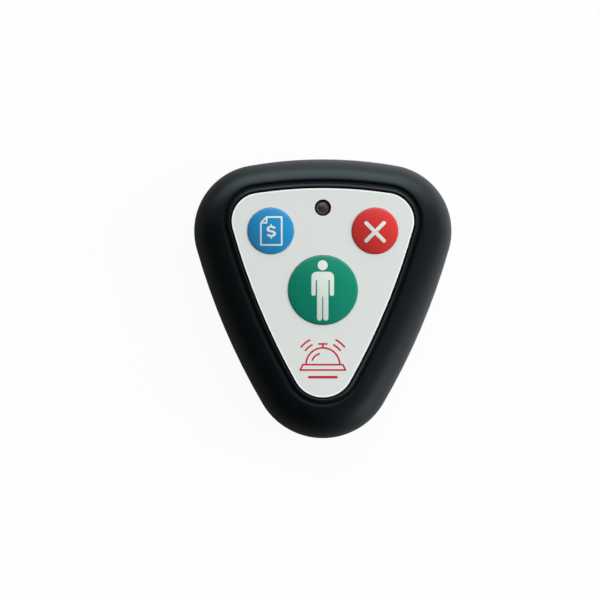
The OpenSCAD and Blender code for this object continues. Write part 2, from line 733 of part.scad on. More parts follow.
// The least gap between one turn's wire and the next, measured on the wound points.
coil_gap = min([for (i = [0 : (coil_turns - 1) * ring_steps], j = [ring_steps - 2 : ring_steps + 2])
    norm(coil_point(i + j) - coil_point(i))]) - 2 * wire_r;
echo(coil_gap = coil_gap);

module coin_cell() {
    step_t = 0.35;
    step_r = cell_r - 1.4;
    step_flare = 0.1;
    round_r = 0.3;
    color("#c8cacc") at(cell_pos, z_cell) rotate_extrude() polygon([
        [0, 0], [cell_r - round_r, 0], [cell_r, round_r], [cell_r, cell_t - step_t - round_r],
        [cell_r - round_r, cell_t - step_t], [step_r, cell_t - step_t],
        [step_r - step_flare, cell_t], [0, cell_t]]);
}

module cell_holder() {
    play = 0.35;
    lift = 0.6;
    r0 = cell_r + play;
    z0 = lug_top + lift;
    mouth = 2 * contact_w;
    color("#26282b") difference() {
        at(cell_pos, z0) difference() {
            cylinder(r = r0 + holder_wall, h = z_board - z0);
            translate([0, 0, -eps]) cylinder(r = r0, h = z_board - z0 + 2 * eps);
        }
        at(cell_pos, z0 - eps) translate([0, -mouth / 2, 0]) cube([2 * cell_r, mouth, z_board]);
    }
}

// Both contacts are strips of one width, each a hair off the coin cell.
contact_w = 4;
touch_gap = 0.05;

// A side view of a strip, given its width across the coin cell.
module contact_strip() {
    at(cell_pos) translate([0, contact_w / 2, 0]) rotate([90, 0, 0]) linear_extrude(contact_w) children();
}

module positive_contact() {
    foot = 2.4;
    grip = 1.4;
    z0 = z_cell_top - grip;
    x0 = cell_r + touch_gap;
    color("#d4c27a") contact_strip()
        polygon([[x0, z0], [x0 + contact_t, z0], [x0 + contact_t, z_board - contact_t],
                 [x0 + foot, z_board - contact_t], [x0 + foot, z_board], [x0, z_board]]);
}

module negative_contact() {
    arm = 6;
    foot = 2.2;
    z_tip = z_cell_top + touch_gap;
    tip = 1.2;
    color("#d4c27a") contact_strip()
        polygon([[-arm, z_board], [-arm, z_board - contact_t], [foot - arm, z_board - contact_t],
                 [0, z_tip], [tip, z_tip], [tip, z_tip + contact_t], [0, z_tip + contact_t],
                 [foot - arm, z_board]]);
}

// A pan-headed screw, point up, with a cross in its head.
module screw(length) {
    cross = [2.3, 0.5, 0.6];
    point_z = length - screw_r;
    difference() {
        union() {
            translate([0, 0, -screw_head_t]) cylinder(r = screw_head_r, h = screw_head_t, $fn = 48);
            cylinder(r = screw_r, h = point_z, $fn = 36);
            translate([0, 0, point_z]) cylinder(r1 = screw_r, r2 = screw_r / 3, h = screw_r, $fn = 36);
        }
        for (a = [0, 90]) rotate([0, 0, a])
            translate([-cross[0] / 2, -cross[1] / 2, -screw_head_t - eps]) cube(cross + [0, 0, eps]);
    }
}

module case_screws() {
    color("#8b8f94") for (b = BOSSES) at(b, case_screw_z) screw(case_screw_l);
}

module board_screws() {
    color("#8b8f94") for (p = PILLARS) at(p, z_board) screw(board_screw_l);
}

module rubber_feet() {
    edge = 0.4;
    color("#2c2d2f") for (b = BOSSES) at(b) rotate_extrude() polygon([
        [0, 0], [foot_r - edge, 0], [foot_r, edge], [foot_r, foot_t], [0, foot_t]]);
}

top_cover();
bottom_cover();
faceplate();
faceplate_tape();
button(call_pos, call_r, call_proud, "#0b8062");  // call_button
button(bill_pos, side_r, side_proud, "#2379b5");  // bill_button
button(cancel_pos, side_r, side_proud, "#c62e30");  // cancel_button
plunger(call_pos);  // call_plunger
plunger(bill_pos);  // bill_plunger
plunger(cancel_pos);  // cancel_plunger
snap_dome(call_pos);  // call_snap_dome
snap_dome(bill_pos);  // bill_snap_dome
snap_dome(cancel_pos);  // cancel_snap_dome
switch_bases();
switch_covers();
switch_legs();
circuit_board();
lamp();
lamp_legs();
encoder_chip();
encoder_pins();
resonator_can();
transistor();
resistors();
capacitors();
antenna_coil();
coin_cell();
cell_holder();
positive_contact();
negative_contact();
battery_hatch();
hatch_seal();
case_screws();
board_screws();
rubber_feet();
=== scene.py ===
# %% [markdown]
# # A wireless waiter call button
# The object is a palm-sized transmitter: a bowed, rounded-triangle case in satin black plastic, a
# white faceplate, three domed push buttons and a small signal lamp. This notebook dresses the
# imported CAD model. Pieces that show are modelled again, finer than in CAD, and the pieces inside
# the case keep their CAD shape and get a finish of their own.

# %% Load the CAD model
import json
from collections import namedtuple
from math import asin, atan2, cos, pi, radians, sin, sqrt

import bmesh
import bpy
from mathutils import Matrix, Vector

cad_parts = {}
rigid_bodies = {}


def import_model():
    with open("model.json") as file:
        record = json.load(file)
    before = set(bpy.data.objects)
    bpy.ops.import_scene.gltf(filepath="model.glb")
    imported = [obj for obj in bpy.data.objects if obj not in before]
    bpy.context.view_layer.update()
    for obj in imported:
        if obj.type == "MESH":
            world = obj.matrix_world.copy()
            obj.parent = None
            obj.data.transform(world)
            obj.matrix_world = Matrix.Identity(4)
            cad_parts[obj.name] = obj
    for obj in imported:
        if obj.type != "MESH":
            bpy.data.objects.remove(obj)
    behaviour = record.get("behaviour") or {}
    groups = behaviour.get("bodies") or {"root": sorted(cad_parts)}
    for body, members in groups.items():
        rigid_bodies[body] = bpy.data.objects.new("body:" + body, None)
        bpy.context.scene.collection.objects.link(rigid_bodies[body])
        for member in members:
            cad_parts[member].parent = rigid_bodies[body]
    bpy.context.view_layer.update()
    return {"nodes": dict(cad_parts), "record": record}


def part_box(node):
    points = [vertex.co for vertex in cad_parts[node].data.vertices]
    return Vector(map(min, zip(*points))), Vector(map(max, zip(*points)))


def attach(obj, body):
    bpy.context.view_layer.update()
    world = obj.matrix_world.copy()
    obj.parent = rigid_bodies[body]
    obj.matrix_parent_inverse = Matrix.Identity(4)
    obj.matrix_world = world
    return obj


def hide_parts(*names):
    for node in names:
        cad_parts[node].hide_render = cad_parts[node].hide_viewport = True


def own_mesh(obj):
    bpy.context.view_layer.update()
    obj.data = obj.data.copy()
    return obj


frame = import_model()
MM = 0.001

# %% [markdown]
# Every piece has to line up with the CAD model, so its heights are read from the model's own boxes
# and never typed again. Only what a box can't tell, such as the radius of a corner, is a value
# here.

# %% Heights and places from the frame
cover_low, cover_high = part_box("top_cover")
plate_low, plate_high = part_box("faceplate")
PARTING_Z = cover_low.z
LIP_Z = cover_high.z
FACE_Z = plate_high.z
RECESS_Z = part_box("faceplate_tape")[0].z
CREST_RISE = 0.6 * MM
DECK_THICKNESS = 1.6 * MM
CREST_Z = RECESS_Z + CREST_RISE
DECK_UNDER_Z = RECESS_Z - DECK_THICKNESS
print("face at %.2f mm, lip at %.2f mm" % (FACE_Z / MM, LIP_Z / MM))

# %% [markdown]
# The case and the faceplate are both rounded triangles, drawn with compasses: a round nose, two
# long bowed sides, two round corners and one bowed end. Each arc runs into the next without a kink
# because their centres lie on one line through the point where they meet. The same rule gives all
# the centres from four radii, a width and a length.

# %% Outlines made of arcs
Outline = namedtuple("Outline", "half_width length shift corner nose end side")
CASE = Outline(36 * MM, 78 * MM, 0, 18.5 * MM, 19.6 * MM, 118 * MM, 187 * MM)
PLATE = Outline(25.6 * MM, 58.7 * MM, 1.65 * MM, 8 * MM, 8.8 * MM, 125 * MM, 193 * MM)
NOSE_STEPS, SIDE_STEPS, CORNER_STEPS, END_STEPS = 16, 8, 22, 10


def blend_outlines(a, b, share):
    """The outline that lies the given share of the way from a to b."""
    return Outline(*[p + (q - p) * share for p, q in zip(a, b)])


def heading(start, end):
    return atan2(end.y - start.y, end.x - start.x)


def arcs_of(shape):
    """An outline's arcs, anticlockwise from the nose: centre, angle to turn, steps."""
    end = Vector((0, shape.length / 2 + shape.shift - shape.end))
    corner_x = shape.half_width - shape.corner
    corner = end + Vector((corner_x, sqrt((shape.end - shape.corner) ** 2 - corner_x ** 2)))
    nose = Vector((0, shape.shift - shape.length / 2 + shape.nose))
    to_corner, to_nose = shape.side - shape.corner, shape.side - shape.nose
    apart = (nose - corner).length
    along = (to_corner ** 2 - to_nose ** 2 + apart ** 2) / (2 * apart)
    way = (nose - corner) / apart
    side = corner + along * way + sqrt(to_corner ** 2 - along ** 2) * Vector((way.y, -way.x))
    at_nose, at_corner, at_end = heading(side, nose), heading(side, corner), heading(end, corner)
    right = [
        (nose, at_nose + pi / 2, NOSE_STEPS),
        (side, at_corner - at_nose, SIDE_STEPS),
        (corner, at_end - at_corner, CORNER_STEPS),
    ]
    left = [(Vector((-centre.x, centre.y)), turn, steps) for centre, turn, steps in reversed(right)]
    return right + [(end, pi - 2 * at_end, END_STEPS)] + left


print("arcs in an outline:", len(arcs_of(CASE)))

# %% [markdown]
# Blender's tools act on whatever is selected, so each piece starts with nothing selected and an
# empty mesh in edit mode. A lone vertex is a tiny plane merged to its centre. Spin then drags it
# round an arc's centre, and seven such sweeps draw a whole outline, as a pencil in compasses
# would.

# %% Helpers for drawing in edit mode
HAIR = 0.01 * MM  # too little to see, for small steps and tolerances
SAME_POINT = 1e-5


def start_piece(name):
    """An empty mesh object at the origin, in edit mode."""
    bpy.ops.object.select_all(action="DESELECT")
    bpy.ops.mesh.primitive_plane_add(size=MM)
    piece = bpy.context.object
    piece.name = name
    piece.data.name = name
    bpy.ops.object.mode_set(mode="EDIT")
    bpy.ops.mesh.delete(type="VERT")
    return piece


def start_line(place):
    """A lone vertex, the only one selected, from which a line is swept."""
    bpy.ops.mesh.select_all(action="DESELECT")
    bpy.ops.mesh.primitive_plane_add(size=HAIR, location=place)
    bpy.ops.mesh.merge(type="CENTER")


def sweep(centre, turn, steps, axis=(0, 0, 1)):
    """Drag what is selected round an axis. Spin counts clockwise turns, so the sign changes."""
    bpy.ops.mesh.spin(steps=steps, angle=-turn, center=centre, axis=axis)


def pull(step):
    """Extrude what is selected by a straight step."""
    bpy.ops.mesh.extrude_region_move(TRANSFORM_OT_translate={"value": step})


def draw_ring(shape, out, z):
    """One closed outline at height z, moved outwards by out, exactly level, left selected."""
    start_line((0, shape.shift - shape.length / 2 - out, z))
    for centre, turn, steps in arcs_of(shape):
        sweep((centre.x, centre.y, z), turn, steps)
    bpy.ops.mesh.select_linked()
    bpy.ops.mesh.remove_doubles(threshold=SAME_POINT * shape.length)
    bpy.ops.transform.resize(value=(1, 1, 0), center_override=(0, 0, z))


# %% [markdown]
# A shell such as the case's shoulder is a stack of rings with a skin between each pair. Every new
# ring is drawn, the last one is fetched back from a vertex group, and Bridge Edge Loops makes the
# faces. All rings have the same number of points, so the bridge is made of clean quads. The bridge
# tells which way round two rings run by the step between their middles and gets it wrong when that
# step is less than a third of a millimetre. So such a piece is drawn a thousand times larger and
# shrunk at the end, and no two rings in a row lie at quite the same height.

# %% Lofting through rings
ENLARGED = 1000


def loft(rings):
    """Draw each ring, enlarged, and bridge it to the last one. Both ends stay open."""
    last = bpy.context.object.vertex_groups.new(name="last_ring")
    for number, (shape, out, z) in enumerate(rings):
        draw_ring(Outline(*[length * ENLARGED for length in shape]), out * ENLARGED, z * ENLARGED)
        if number > 0:
            bpy.ops.object.vertex_group_select()
            bpy.ops.mesh.bridge_edge_loops()
            bpy.ops.object.vertex_group_deselect()
            bpy.ops.object.vertex_group_remove_from(use_all_verts=True)
        bpy.ops.object.vertex_group_assign()
    bpy.context.object.vertex_groups.remove(last)


# %% [markdown]
# Round holes are not cut afterwards, which would leave long thin faces. The wall of each hole is a
# circle extruded down, with a small round at its upper edge, and Fill then closes the flat surface
# between the outline and all the holes at once.

# %% Holes and the flats between them
HOLE_POINTS = 96
EDGE_ANGLES = (radians(30), radians(60), pi / 2)
LEVEL_TOLERANCE = 1e-4
WELD = 0.001 * MM


def bore(x, y, radius, high_z, low_z, edge):
    """The wall of a round hole, enlarged, from its rounded upper edge down, with open ends."""
    x, y, radius, high_z, low_z, edge = [n * ENLARGED for n in (x, y, radius, high_z, low_z, edge)]
    bpy.ops.mesh.select_all(action="DESELECT")
    bpy.ops.mesh.primitive_circle_add(
        vertices=HOLE_POINTS, radius=radius + edge, fill_type="NOTHING", location=(x, y, high_z)
    )
    wide, height = radius + edge, high_z
    for angle in EDGE_ANGLES:
        lower = high_z - edge * (1 - cos(angle))
        narrower = radius + edge * (1 - sin(angle))
        pull((0, 0, lower - height))
        scale = narrower / wide
        bpy.ops.transform.resize(value=(scale, scale, 1), center_override=(x, y, lower))
        wide, height = narrower, lower
    pull((0, 0, low_z - height))


def select_edges(test):
    """Select, in edit mode, the edges that pass a test, and nothing else."""
    bpy.ops.mesh.select_mode(type="EDGE")
    bpy.ops.mesh.select_all(action="DESELECT")
    mesh = bmesh.from_edit_mesh(bpy.context.object.data)
    for edge in mesh.edges:
        edge.select = test(edge)
    mesh.select_flush_mode()
    bmesh.update_edit_mesh(bpy.context.object.data)


def fill_flat(z):
    """Fill the flat surface that the open edges at height z enclose."""
    select_edges(
        lambda edge: len(edge.link_faces) < 2
        and all(abs(vertex.co.z - z * ENLARGED) < LEVEL_TOLERANCE for vertex in edge.verts)
    )
    bpy.ops.mesh.fill(use_beauty=True)
    bpy.ops.mesh.select_mode(type="VERT")


def shrink():
    """Bring an enlarged piece to its real size."""
    bpy.ops.mesh.select_all(action="SELECT")
    bpy.ops.transform.resize(value=(1 / ENLARGED,) * 3, center_override=(0, 0, 0))


def close_piece(smooth_angle=40):
    """Weld the mesh, turn its faces outwards, leave edit mode and smooth all but sharp edges."""
    bpy.ops.mesh.select_all(action="SELECT")
    bpy.ops.mesh.remove_doubles(threshold=WELD)
    bpy.ops.mesh.normals_make_consistent(inside=False)
    bpy.ops.object.mode_set(mode="OBJECT")
    bpy.ops.object.shade_smooth_by_angle(angle=radians(smooth_angle))


# %% [markdown]
# Modifiers do what would be long work by hand, such as cutting one shape with another. Each is
# applied at once, and a copy always gets a mesh of its own.

# %% Modifiers and copies


def pick(piece):
    """Make a piece the active one and the only one selected."""
    bpy.ops.object.select_all(action="DESELECT")
    bpy.context.view_layer.objects.active = piece
    piece.select_set(True)


def open_copy(source, name):
    """A copy of a piece, all selected in edit mode."""
    piece = bpy.data.objects.new(name, source.data.copy())
    bpy.context.collection.objects.link(piece)
    pick(piece)
    bpy.ops.object.mode_set(mode="EDIT")
    bpy.ops.mesh.select_all(action="SELECT")
    return piece


def use_modifier(piece, kind, **settings):
    """Add a modifier with its settings and apply it at once."""
    pick(piece)
    modifier = piece.modifiers.new(kind.lower(), kind)
    for key, value in settings.items():
        setattr(modifier, key, value)
    bpy.ops.object.modifier_apply(modifier=modifier.name)


def cut_with(piece, tool, operation="DIFFERENCE", solver="MANIFOLD", **settings):
    """Cut a piece with a tool object, or keep only what they share, and throw the tool away."""
    use_modifier(piece, "BOOLEAN", object=tool, operation=operation, solver=solver, **settings)
    bpy.data.meshes.remove(tool.data)


# %% [markdown]
# ## Finishes
# A finish is a material whose numbers vary over the surface. Writing that with nodes is easier to
# read as sums: the class below wraps one output of a node, so that `0.4 + 0.2 * smudges` adds the
# two Math nodes by itself. All patterns read Object coordinates, in metres, so they stay put on a
# piece.

# %% Sums on shader sockets


class Value:
    """One output of a shader node, on which sums can be written."""

    def __init__(self, tree, link):
        self.tree = tree
        self.link = link

    def math(self, operation, *values):
        return self.tree.node("ShaderNodeMath", {"operation": operation}, dict(enumerate(values)))

    def __add__(self, other):
        return self.math("ADD", self, other)

    __radd__ = __add__

    def __sub__(self, other):
        return self.math("SUBTRACT", self, other)

    def __rsub__(self, other):
        return self.math("SUBTRACT", other, self)

    def __mul__(self, other):
        return self.math("MULTIPLY", self, other)

    __rmul__ = __mul__

    def ramp(self, low, high):
        """0 below low, 1 above high, and a smooth rise between them."""
        settings = {"interpolation_type": "SMOOTHSTEP"}
        inputs = {"Value": self, "From Min": low, "From Max": high}
        return self.tree.node("ShaderNodeMapRange", settings, inputs)


# %% [markdown]
# Materials and the world are both trees of nodes. One method makes any node: its settings come
# first, because they can change which sockets it has, and then its inputs are linked or set.

# %% A tree of nodes


class Tree:
    """A node tree and the one method that adds a node to it."""

    def __init__(self, owner):
        owner.use_nodes = True
        self.tree = owner.node_tree

    def node(self, kind, settings=None, inputs=None, output=0):
        made = self.tree.nodes.new(kind)
        for key, value in (settings or {}).items():
            setattr(made, key, value)
        for key, value in (inputs or {}).items():
            self.feed(made.inputs[key], value)
        return Value(self, made.outputs[output])

    def feed(self, socket, value):
        if isinstance(value, Value):
            self.tree.links.new(socket, value.link)
        else:
            socket.default_value = value

    def vectors(self, operation, *values, output=0):
        """Vector Math, for sums that have to keep all three coordinates."""
        inputs = dict(enumerate(values))
        return self.node("ShaderNodeVectorMath", {"operation": operation}, inputs, output)

    def along(self, axis, vector):
        """One coordinate of a vector."""
        return self.node("ShaderNodeSeparateXYZ", inputs={0: vector}, output=axis)


def colour(red, green, blue, light=1.0):
    return (red * light, green * light, blue * light, 1.0)


# %% [markdown]
# A finish starts from the Principled shader. Its settings that are the same all over go straight
# on the shader's sockets, and only colour, roughness, metalness, coat and bump get nodes.

# %% A finish


class Finish(Tree):
    """A material with its Principled shader and the patterns that most finishes need."""

    def __init__(self, name, **constants):
        self.material = bpy.data.materials.new(name)
        super().__init__(self.material)
        self.shader = self.tree.nodes["Principled BSDF"]
        self.set(**constants)
        self.place = self.node("ShaderNodeTexCoord", output="Object")

    def set(self, **values):
        """Feed the shader's sockets, named in lower case with _ for a space."""
        for key, value in values.items():
            words = [w.upper() if w == "ior" else w.capitalize() for w in key.split("_")]
            self.feed(self.shader.inputs[" ".join(words)], value)

    def noise(self, size, detail=2.0, roughness=0.5):
        """Cloudy noise from 0 to 1 whose blobs are about the given size."""
        inputs = {"Vector": self.place, "Scale": 1 / size, "Detail": detail, "Roughness": roughness}
        return self.node("ShaderNodeTexNoise", inputs=inputs)

    def mix(self, factor, low, high):
        """A colour that goes from low to high with the factor, through the colour sockets."""
        inputs = {0: factor, 6: low, 7: high}
        return self.node("ShaderNodeMix", {"data_type": "RGBA"}, inputs, output=2)

    def shades(self, factor, tint, low, high=1.0):
        """A tint whose light goes from low to high with the factor."""
        return self.mix(factor, colour(*tint, low), colour(*tint, high))

    def bump(self, height, depth):
        """A normal that follows a height from 0 to 1, where 1 stands the given depth up."""
        self.set(normal=self.node("ShaderNodeBump", inputs={"Height": height, "Distance": depth}))


# %% [markdown]
# Moulded plastic is never one colour: the skin has a fine spark-eroded grain, faint flow marks and
# slightly shinier patches where it has been handled. One function makes that for every moulded
# piece, and each piece has its own colour, gloss and grain.

# %% Moulded plastic


def moulded(
    name, tint, roughness, grain=0.12 * MM, grain_depth=0.002 * MM, handled=0.06, uneven=0.08,
    **constants,
):
    """Satin moulded plastic with a fine grain, an uneven tint and handled patches."""
    finish = Finish(name, **constants)
    flow = finish.noise(9 * MM, 3)
    patches = finish.noise(4 * MM, 4, 0.6).ramp(0.35, 0.7)
    finish.set(
        base_color=finish.shades(flow.ramp(0.3, 0.7), tint, 1 - uneven, 1 + uneven),
        roughness=roughness + handled * (patches - 0.5),
    )
    finish.bump(finish.noise(grain, 1), grain_depth)
    return finish.material


case_black = moulded(
    "satin_black_case", (0.0030, 0.0042, 0.0049), 0.42, handled=0.04,
    specular_tint=colour(0.72, 0.92, 1),
)
# The lip's tint is lighter than the case's: a painted highlight, on top of its real lower
# roughness.
case_lip_painted_highlight = moulded(
    "glossy_black_lip_painted_highlight", (0.0085, 0.0100, 0.0110), 0.3, handled=0.04,
    specular_tint=colour(0.8, 0.95, 1),
)
back_black = moulded(
    "grained_black_back", (0.0088, 0.0095, 0.0102), 0.5, grain=0.28 * MM, grain_depth=0.012 * MM
)
hatch_black = moulded("satin_black_hatch", (0.0095, 0.0102, 0.0112), 0.4)
nylon_black = moulded(
    "black_nylon", (0.012, 0.012, 0.013), 0.55, grain=0.2 * MM, grain_depth=0.006 * MM
)
nylon_ivory = moulded("ivory_nylon", (0.68, 0.64, 0.55), 0.45)
print("materials:", len(bpy.data.materials))

# %% [markdown]
# The keys are dyed right through, with a slightly uneven dye and a fine satin grain. The printed
# signs stand a hair proud of the key, in an ink that is less glossy than the plastic.

# %% Keys, print and faceplate
KEY_PLASTIC = {
    "roughness": 0.3, "grain": 0.16 * MM, "handled": 0.015, "uneven": 0.025,
    "specular_ior_level": 0.6,
}
key_green = moulded("dyed_green", (0.002, 0.22, 0.135), **KEY_PLASTIC)
key_blue = moulded("dyed_blue", (0.015, 0.24, 0.51), **KEY_PLASTIC)
key_red = moulded("dyed_red", (0.595, 0.034, 0.032), **KEY_PLASTIC)


def printed(name, tint, roughness, mottle):
    """Screen-printed ink: even, with a faint mottle where the mesh left it thinner."""
    finish = Finish(name)
    mesh = finish.noise(0.18 * MM, 1)
    finish.set(
        base_color=finish.shades(mesh.ramp(0.35, 0.65), tint, 1 - mottle),
        roughness=roughness + 0.08 * finish.noise(2.5 * MM, 3),
    )
    finish.bump(mesh, 0.001 * MM)
    return finish.material


ink_white = printed("white_print", (0.70, 0.775, 0.72), 0.42, 0.05)
ink_red = printed("red_print", (0.56, 0.022, 0.035), 0.42, 0.08)
plate_field = printed("faceplate_print", (0.735, 0.775, 0.75), 0.4, 0.012)
plate_border = printed("faceplate_border", (0.96, 0.98, 0.97), 0.34, 0.006)
print("materials:", len(bpy.data.materials))

# %% [markdown]
# The lamp is a tinted, unlit lens. It looks brown and nearly black, with a paler speckle where
# light catches the diffusing powder in the epoxy, under a clear glossy skin.

# %% Lamp lens


def tinted_lens():
    finish = Finish("tinted_lamp_lens", coat_weight=1.0, coat_roughness=0.12)
    powder = finish.noise(0.45 * MM, 4, 0.7).ramp(0.45, 0.75)
    finish.set(
        base_color=finish.mix(powder, colour(0.03, 0.017, 0.018), colour(0.12, 0.08, 0.08)),
        roughness=0.5 - 0.15 * powder,
    )
    finish.bump(powder, 0.01 * MM)
    return finish.material


lamp_tint = tinted_lens()

# %% [markdown]
# Metal inside the case: tinned leads, stamped plate, spring strip, copper and the nickel-plated
# coin cell. Brushed metal is noise stretched along one axis, and a coin cell is brushed in
# circles, which is noise over the distance from its middle.

# %% Metals
MARK_SIZE = (3 * MM, 0.15 * MM, 0.15 * MM)
RING_SIZE = 0.12 * MM


def metal(name, tint, roughness):
    """Metal with fine marks that run along x."""
    finish = Finish(name, metallic=1.0)
    stretched = finish.vectors("DIVIDE", finish.place, MARK_SIZE)
    inputs = {"Vector": stretched, "Scale": 1.0, "Detail": 3.0}
    marks = finish.node("ShaderNodeTexNoise", inputs=inputs)
    dull = finish.noise(1.5 * MM, 4, 0.6)
    finish.set(
        base_color=finish.shades(dull.ramp(0.3, 0.75), tint, 0.82),
        roughness=roughness + 0.16 * marks + 0.1 * dull,
    )
    finish.bump(marks, 0.002 * MM)
    return finish.material


def turned_metal(name, tint, roughness, middle):
    """Metal brushed in circles round an upright axis through the given place."""
    finish = Finish(name, metallic=1.0)
    from_middle = finish.vectors("SUBTRACT", finish.place, (middle.x, middle.y, 0))
    flat = finish.vectors("MULTIPLY", from_middle, (1, 1, 0))
    radius = finish.vectors("LENGTH", flat, output="Value")
    inputs = {"W": radius, "Scale": 1 / RING_SIZE}
    rings = finish.node("ShaderNodeTexNoise", {"noise_dimensions": "1D"}, inputs)
    dull = finish.noise(2 * MM, 4, 0.6)
    finish.set(
        base_color=finish.shades(dull.ramp(0.3, 0.7), tint, 0.86),
        roughness=roughness + 0.2 * rings + 0.08 * dull,
    )
    finish.bump(rings, 0.002 * MM)
    return finish.material


tinned = metal("tinned_lead", (0.72, 0.73, 0.74), 0.28)
stamped_steel = metal("stamped_steel", (0.62, 0.63, 0.64), 0.3)
spring_strip = metal("gilt_spring_strip", (0.78, 0.62, 0.3), 0.25)
enamelled_copper = metal("enamelled_copper", (0.72, 0.3, 0.13), 0.22)
zinc = metal("zinc_plated_screw", (0.52, 0.53, 0.55), 0.32)
print("materials:", len(bpy.data.materials))

# %% [markdown]
# Three more finishes: rubber, which is dull and slightly dusty, the green solder mask of the board
# with copper tracks showing as a paler pattern under it, and the fired ceramic of the small parts.

# %% Rubber, board and ceramic


def rubber(name, tint):
    finish = Finish(name, specular_ior_level=0.35)
    dust = finish.noise(0.5 * MM, 5, 0.7).ramp(0.45, 0.8)
    finish.set(
        base_color=finish.shades(dust, tint, 1, 1.9),
        roughness=0.78 + 0.12 * dust,
    )
    finish.bump(finish.noise(0.25 * MM, 3), 0.012 * MM)
    return finish.material


def solder_mask():
    """Tracks run along x and y, at the edges of square cells of noise."""
    finish = Finish("green_solder_mask", coat_weight=0.6, coat_roughness=0.15)
    cells = {"Vector": finish.place, "Scale": 1 / (2.2 * MM), "Randomness": 0.7}
    settings = {"feature": "F1", "distance": "CHEBYCHEV"}
    distance = finish.node("ShaderNodeTexVoronoi", settings, cells)
    track = distance.ramp(0.36, 0.39) - distance.ramp(0.46, 0.49)
    finish.set(
        base_color=finish.mix(track, colour(0.006, 0.075, 0.03), colour(0.02, 0.17, 0.06)),
        roughness=0.4 - 0.1 * track,
    )
    finish.bump(track, 0.03 * MM)
    return finish.material


def ceramic(name, tint, roughness):
    finish = Finish(name)
    speckle = finish.noise(0.12 * MM, 3, 0.7)
    finish.set(
        base_color=finish.shades(speckle.ramp(0.35, 0.65), tint, 0.75, 1.15),
        roughness=roughness + 0.15 * speckle,
    )
    finish.bump(speckle, 0.008 * MM)
    return finish.material


foot_rubber = rubber("soft_pad", (0.02, 0.02, 0.021))
seal_rubber = rubber("nitrile_ring", (0.028, 0.028, 0.03))
mask_green = solder_mask()
resistor_black = ceramic("black_glaze", (0.02, 0.02, 0.024), 0.4)
capacitor_tan = ceramic("tan_ceramic", (0.36, 0.24, 0.15), 0.5)
chip_epoxy = ceramic("chip_epoxy", (0.018, 0.018, 0.02), 0.55)
tape_film = ceramic("adhesive_film", (0.55, 0.47, 0.3), 0.5)
print("materials:", len(bpy.data.materials))

# %% [markdown]
# A new piece that stands for a CAD node takes that node's body from the record, so it is not typed
# again.

# %% Dressing and seating a piece
BODY_OF = {
    node: body
    for body, nodes in frame["record"]["behaviour"]["bodies"].items()
    for node in nodes
}


def dress(piece, *materials):
    piece.data.materials.clear()
    for material in materials:
        piece.data.materials.append(material)


def seat(piece, node, hides=True):
    """The piece rides with a CAD node and, as a rule, stands for it."""
    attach(piece, BODY_OF[node])
    if hides:
        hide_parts(node)
    print(piece.name, "rides on", BODY_OF[node], "with", len(piece.data.polygons), "faces")


# %% [markdown]
# ## Top cover
# On the real object this is one moulding: a low straight wall at the parting line, a shoulder that
# bulges over to the face like a river pebble, a soft groove, and a raised lip that guards the edge
# of the faceplate. It could be sculpted, but its outline changes from the case's to the
# faceplate's on the way up, so lofting a stack of outlines keeps it exact and smooth.

# %% The shoulder's rings
LIP_GAP = 0.35 * MM
LIP_WIDTH = 0.72 * MM
LIP_LEAN = 0.3 * MM
GROOVE_WIDTH = 1.28 * MM
GROOVE_DEPTH = 0.6 * MM
TRIM = 0.14 * MM
TRENCH_Z = RECESS_Z - 1.0 * MM
LIP_OUT = LIP_GAP + LIP_WIDTH
RIM_OUT = LIP_OUT + GROOVE_WIDTH
RIM = Outline(
    PLATE.half_width + RIM_OUT, PLATE.length + 2 * RIM_OUT, PLATE.shift,
    PLATE.corner + RIM_OUT, PLATE.nose + RIM_OUT, PLATE.end + RIM_OUT, PLATE.side + RIM_OUT,
)
CROWN_R = 0.16 * MM
TUCK = 0.04 * MM
VALLEY_STEPS = 12
SHOULDER_STEPS = 18
SHOULDER_POWER = 0.92
SHOULDER_TURN = radians(77)


def shoulder(low_z, high_z, inward, steps):
    """Rings from the case's outline to the rim's, ending short of level at a crisp crest."""
    rings = []
    for step in range(steps + 1):
        angle = SHOULDER_TURN * step / steps
        way_in = (1 - cos(angle) ** SHOULDER_POWER) / (1 - cos(SHOULDER_TURN) ** SHOULDER_POWER)
        way_up = (sin(angle) / sin(SHOULDER_TURN)) ** SHOULDER_POWER
        shape = blend_outlines(CASE, RIM, way_in)
        rings.append((shape, -inward, low_z + (high_z - low_z) * way_up))
    return rings


def groove_and_lip():
    """Rings across the rim: a round valley, the lip's leaning side, its round top, its inner wall
    and the narrow trench round the faceplate that makes the dark line there."""
    valley = []
    for step in range(1, VALLEY_STEPS + 1):
        share = step / VALLEY_STEPS
        depth = (1 - cos(2 * pi * share)) / 2 if share < 0.5 else sin(pi * share)
        valley.append((PLATE, RIM_OUT - GROOVE_WIDTH * share, CREST_Z - GROOVE_DEPTH * depth))
    inner = LIP_GAP + CROWN_R
    outer = LIP_OUT - LIP_LEAN - CROWN_R
    top = [
        (PLATE, outer + CROWN_R * cos(a), LIP_Z - CROWN_R * (1 - sin(a)))
        for a in (radians(20), radians(45), radians(70), pi / 2)
    ]
    bend = [
        (PLATE, inner - CROWN_R * sin(a), LIP_Z - CROWN_R * (1 - cos(a)))
        for a in (radians(8), radians(25), radians(50), radians(75), pi / 2)
    ]
    under_plate = -TRIM - TUCK
    trench = [
        (PLATE, LIP_GAP, TRENCH_Z),
        (PLATE, under_plate, TRENCH_Z + HAIR),
        (PLATE, under_plate, RECESS_Z),
    ]
    return valley + top + bend + trench


# %% [markdown]
# The buttons and the lamp pass through the deck under the faceplate. A button's box in CAD
# includes the flange that keeps it in, so its radius is half the box less the flange. A little
# growth, which may be negative, brings it to the size in the photograph.

# %% Places of the buttons and the lamp
FLANGE = 1 * MM
Key = namedtuple("Key", "node x y radius flange_r crown_z")


def key_from(node, growth):
    """A button's place and radius, which grows by a tenth of a millimetre at most."""
    low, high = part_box(node)
    middle = (low + high) / 2
    flange_r = (high.x - low.x) / 2
    return Key(node, middle.x, middle.y, flange_r - FLANGE + growth, flange_r, high.z)


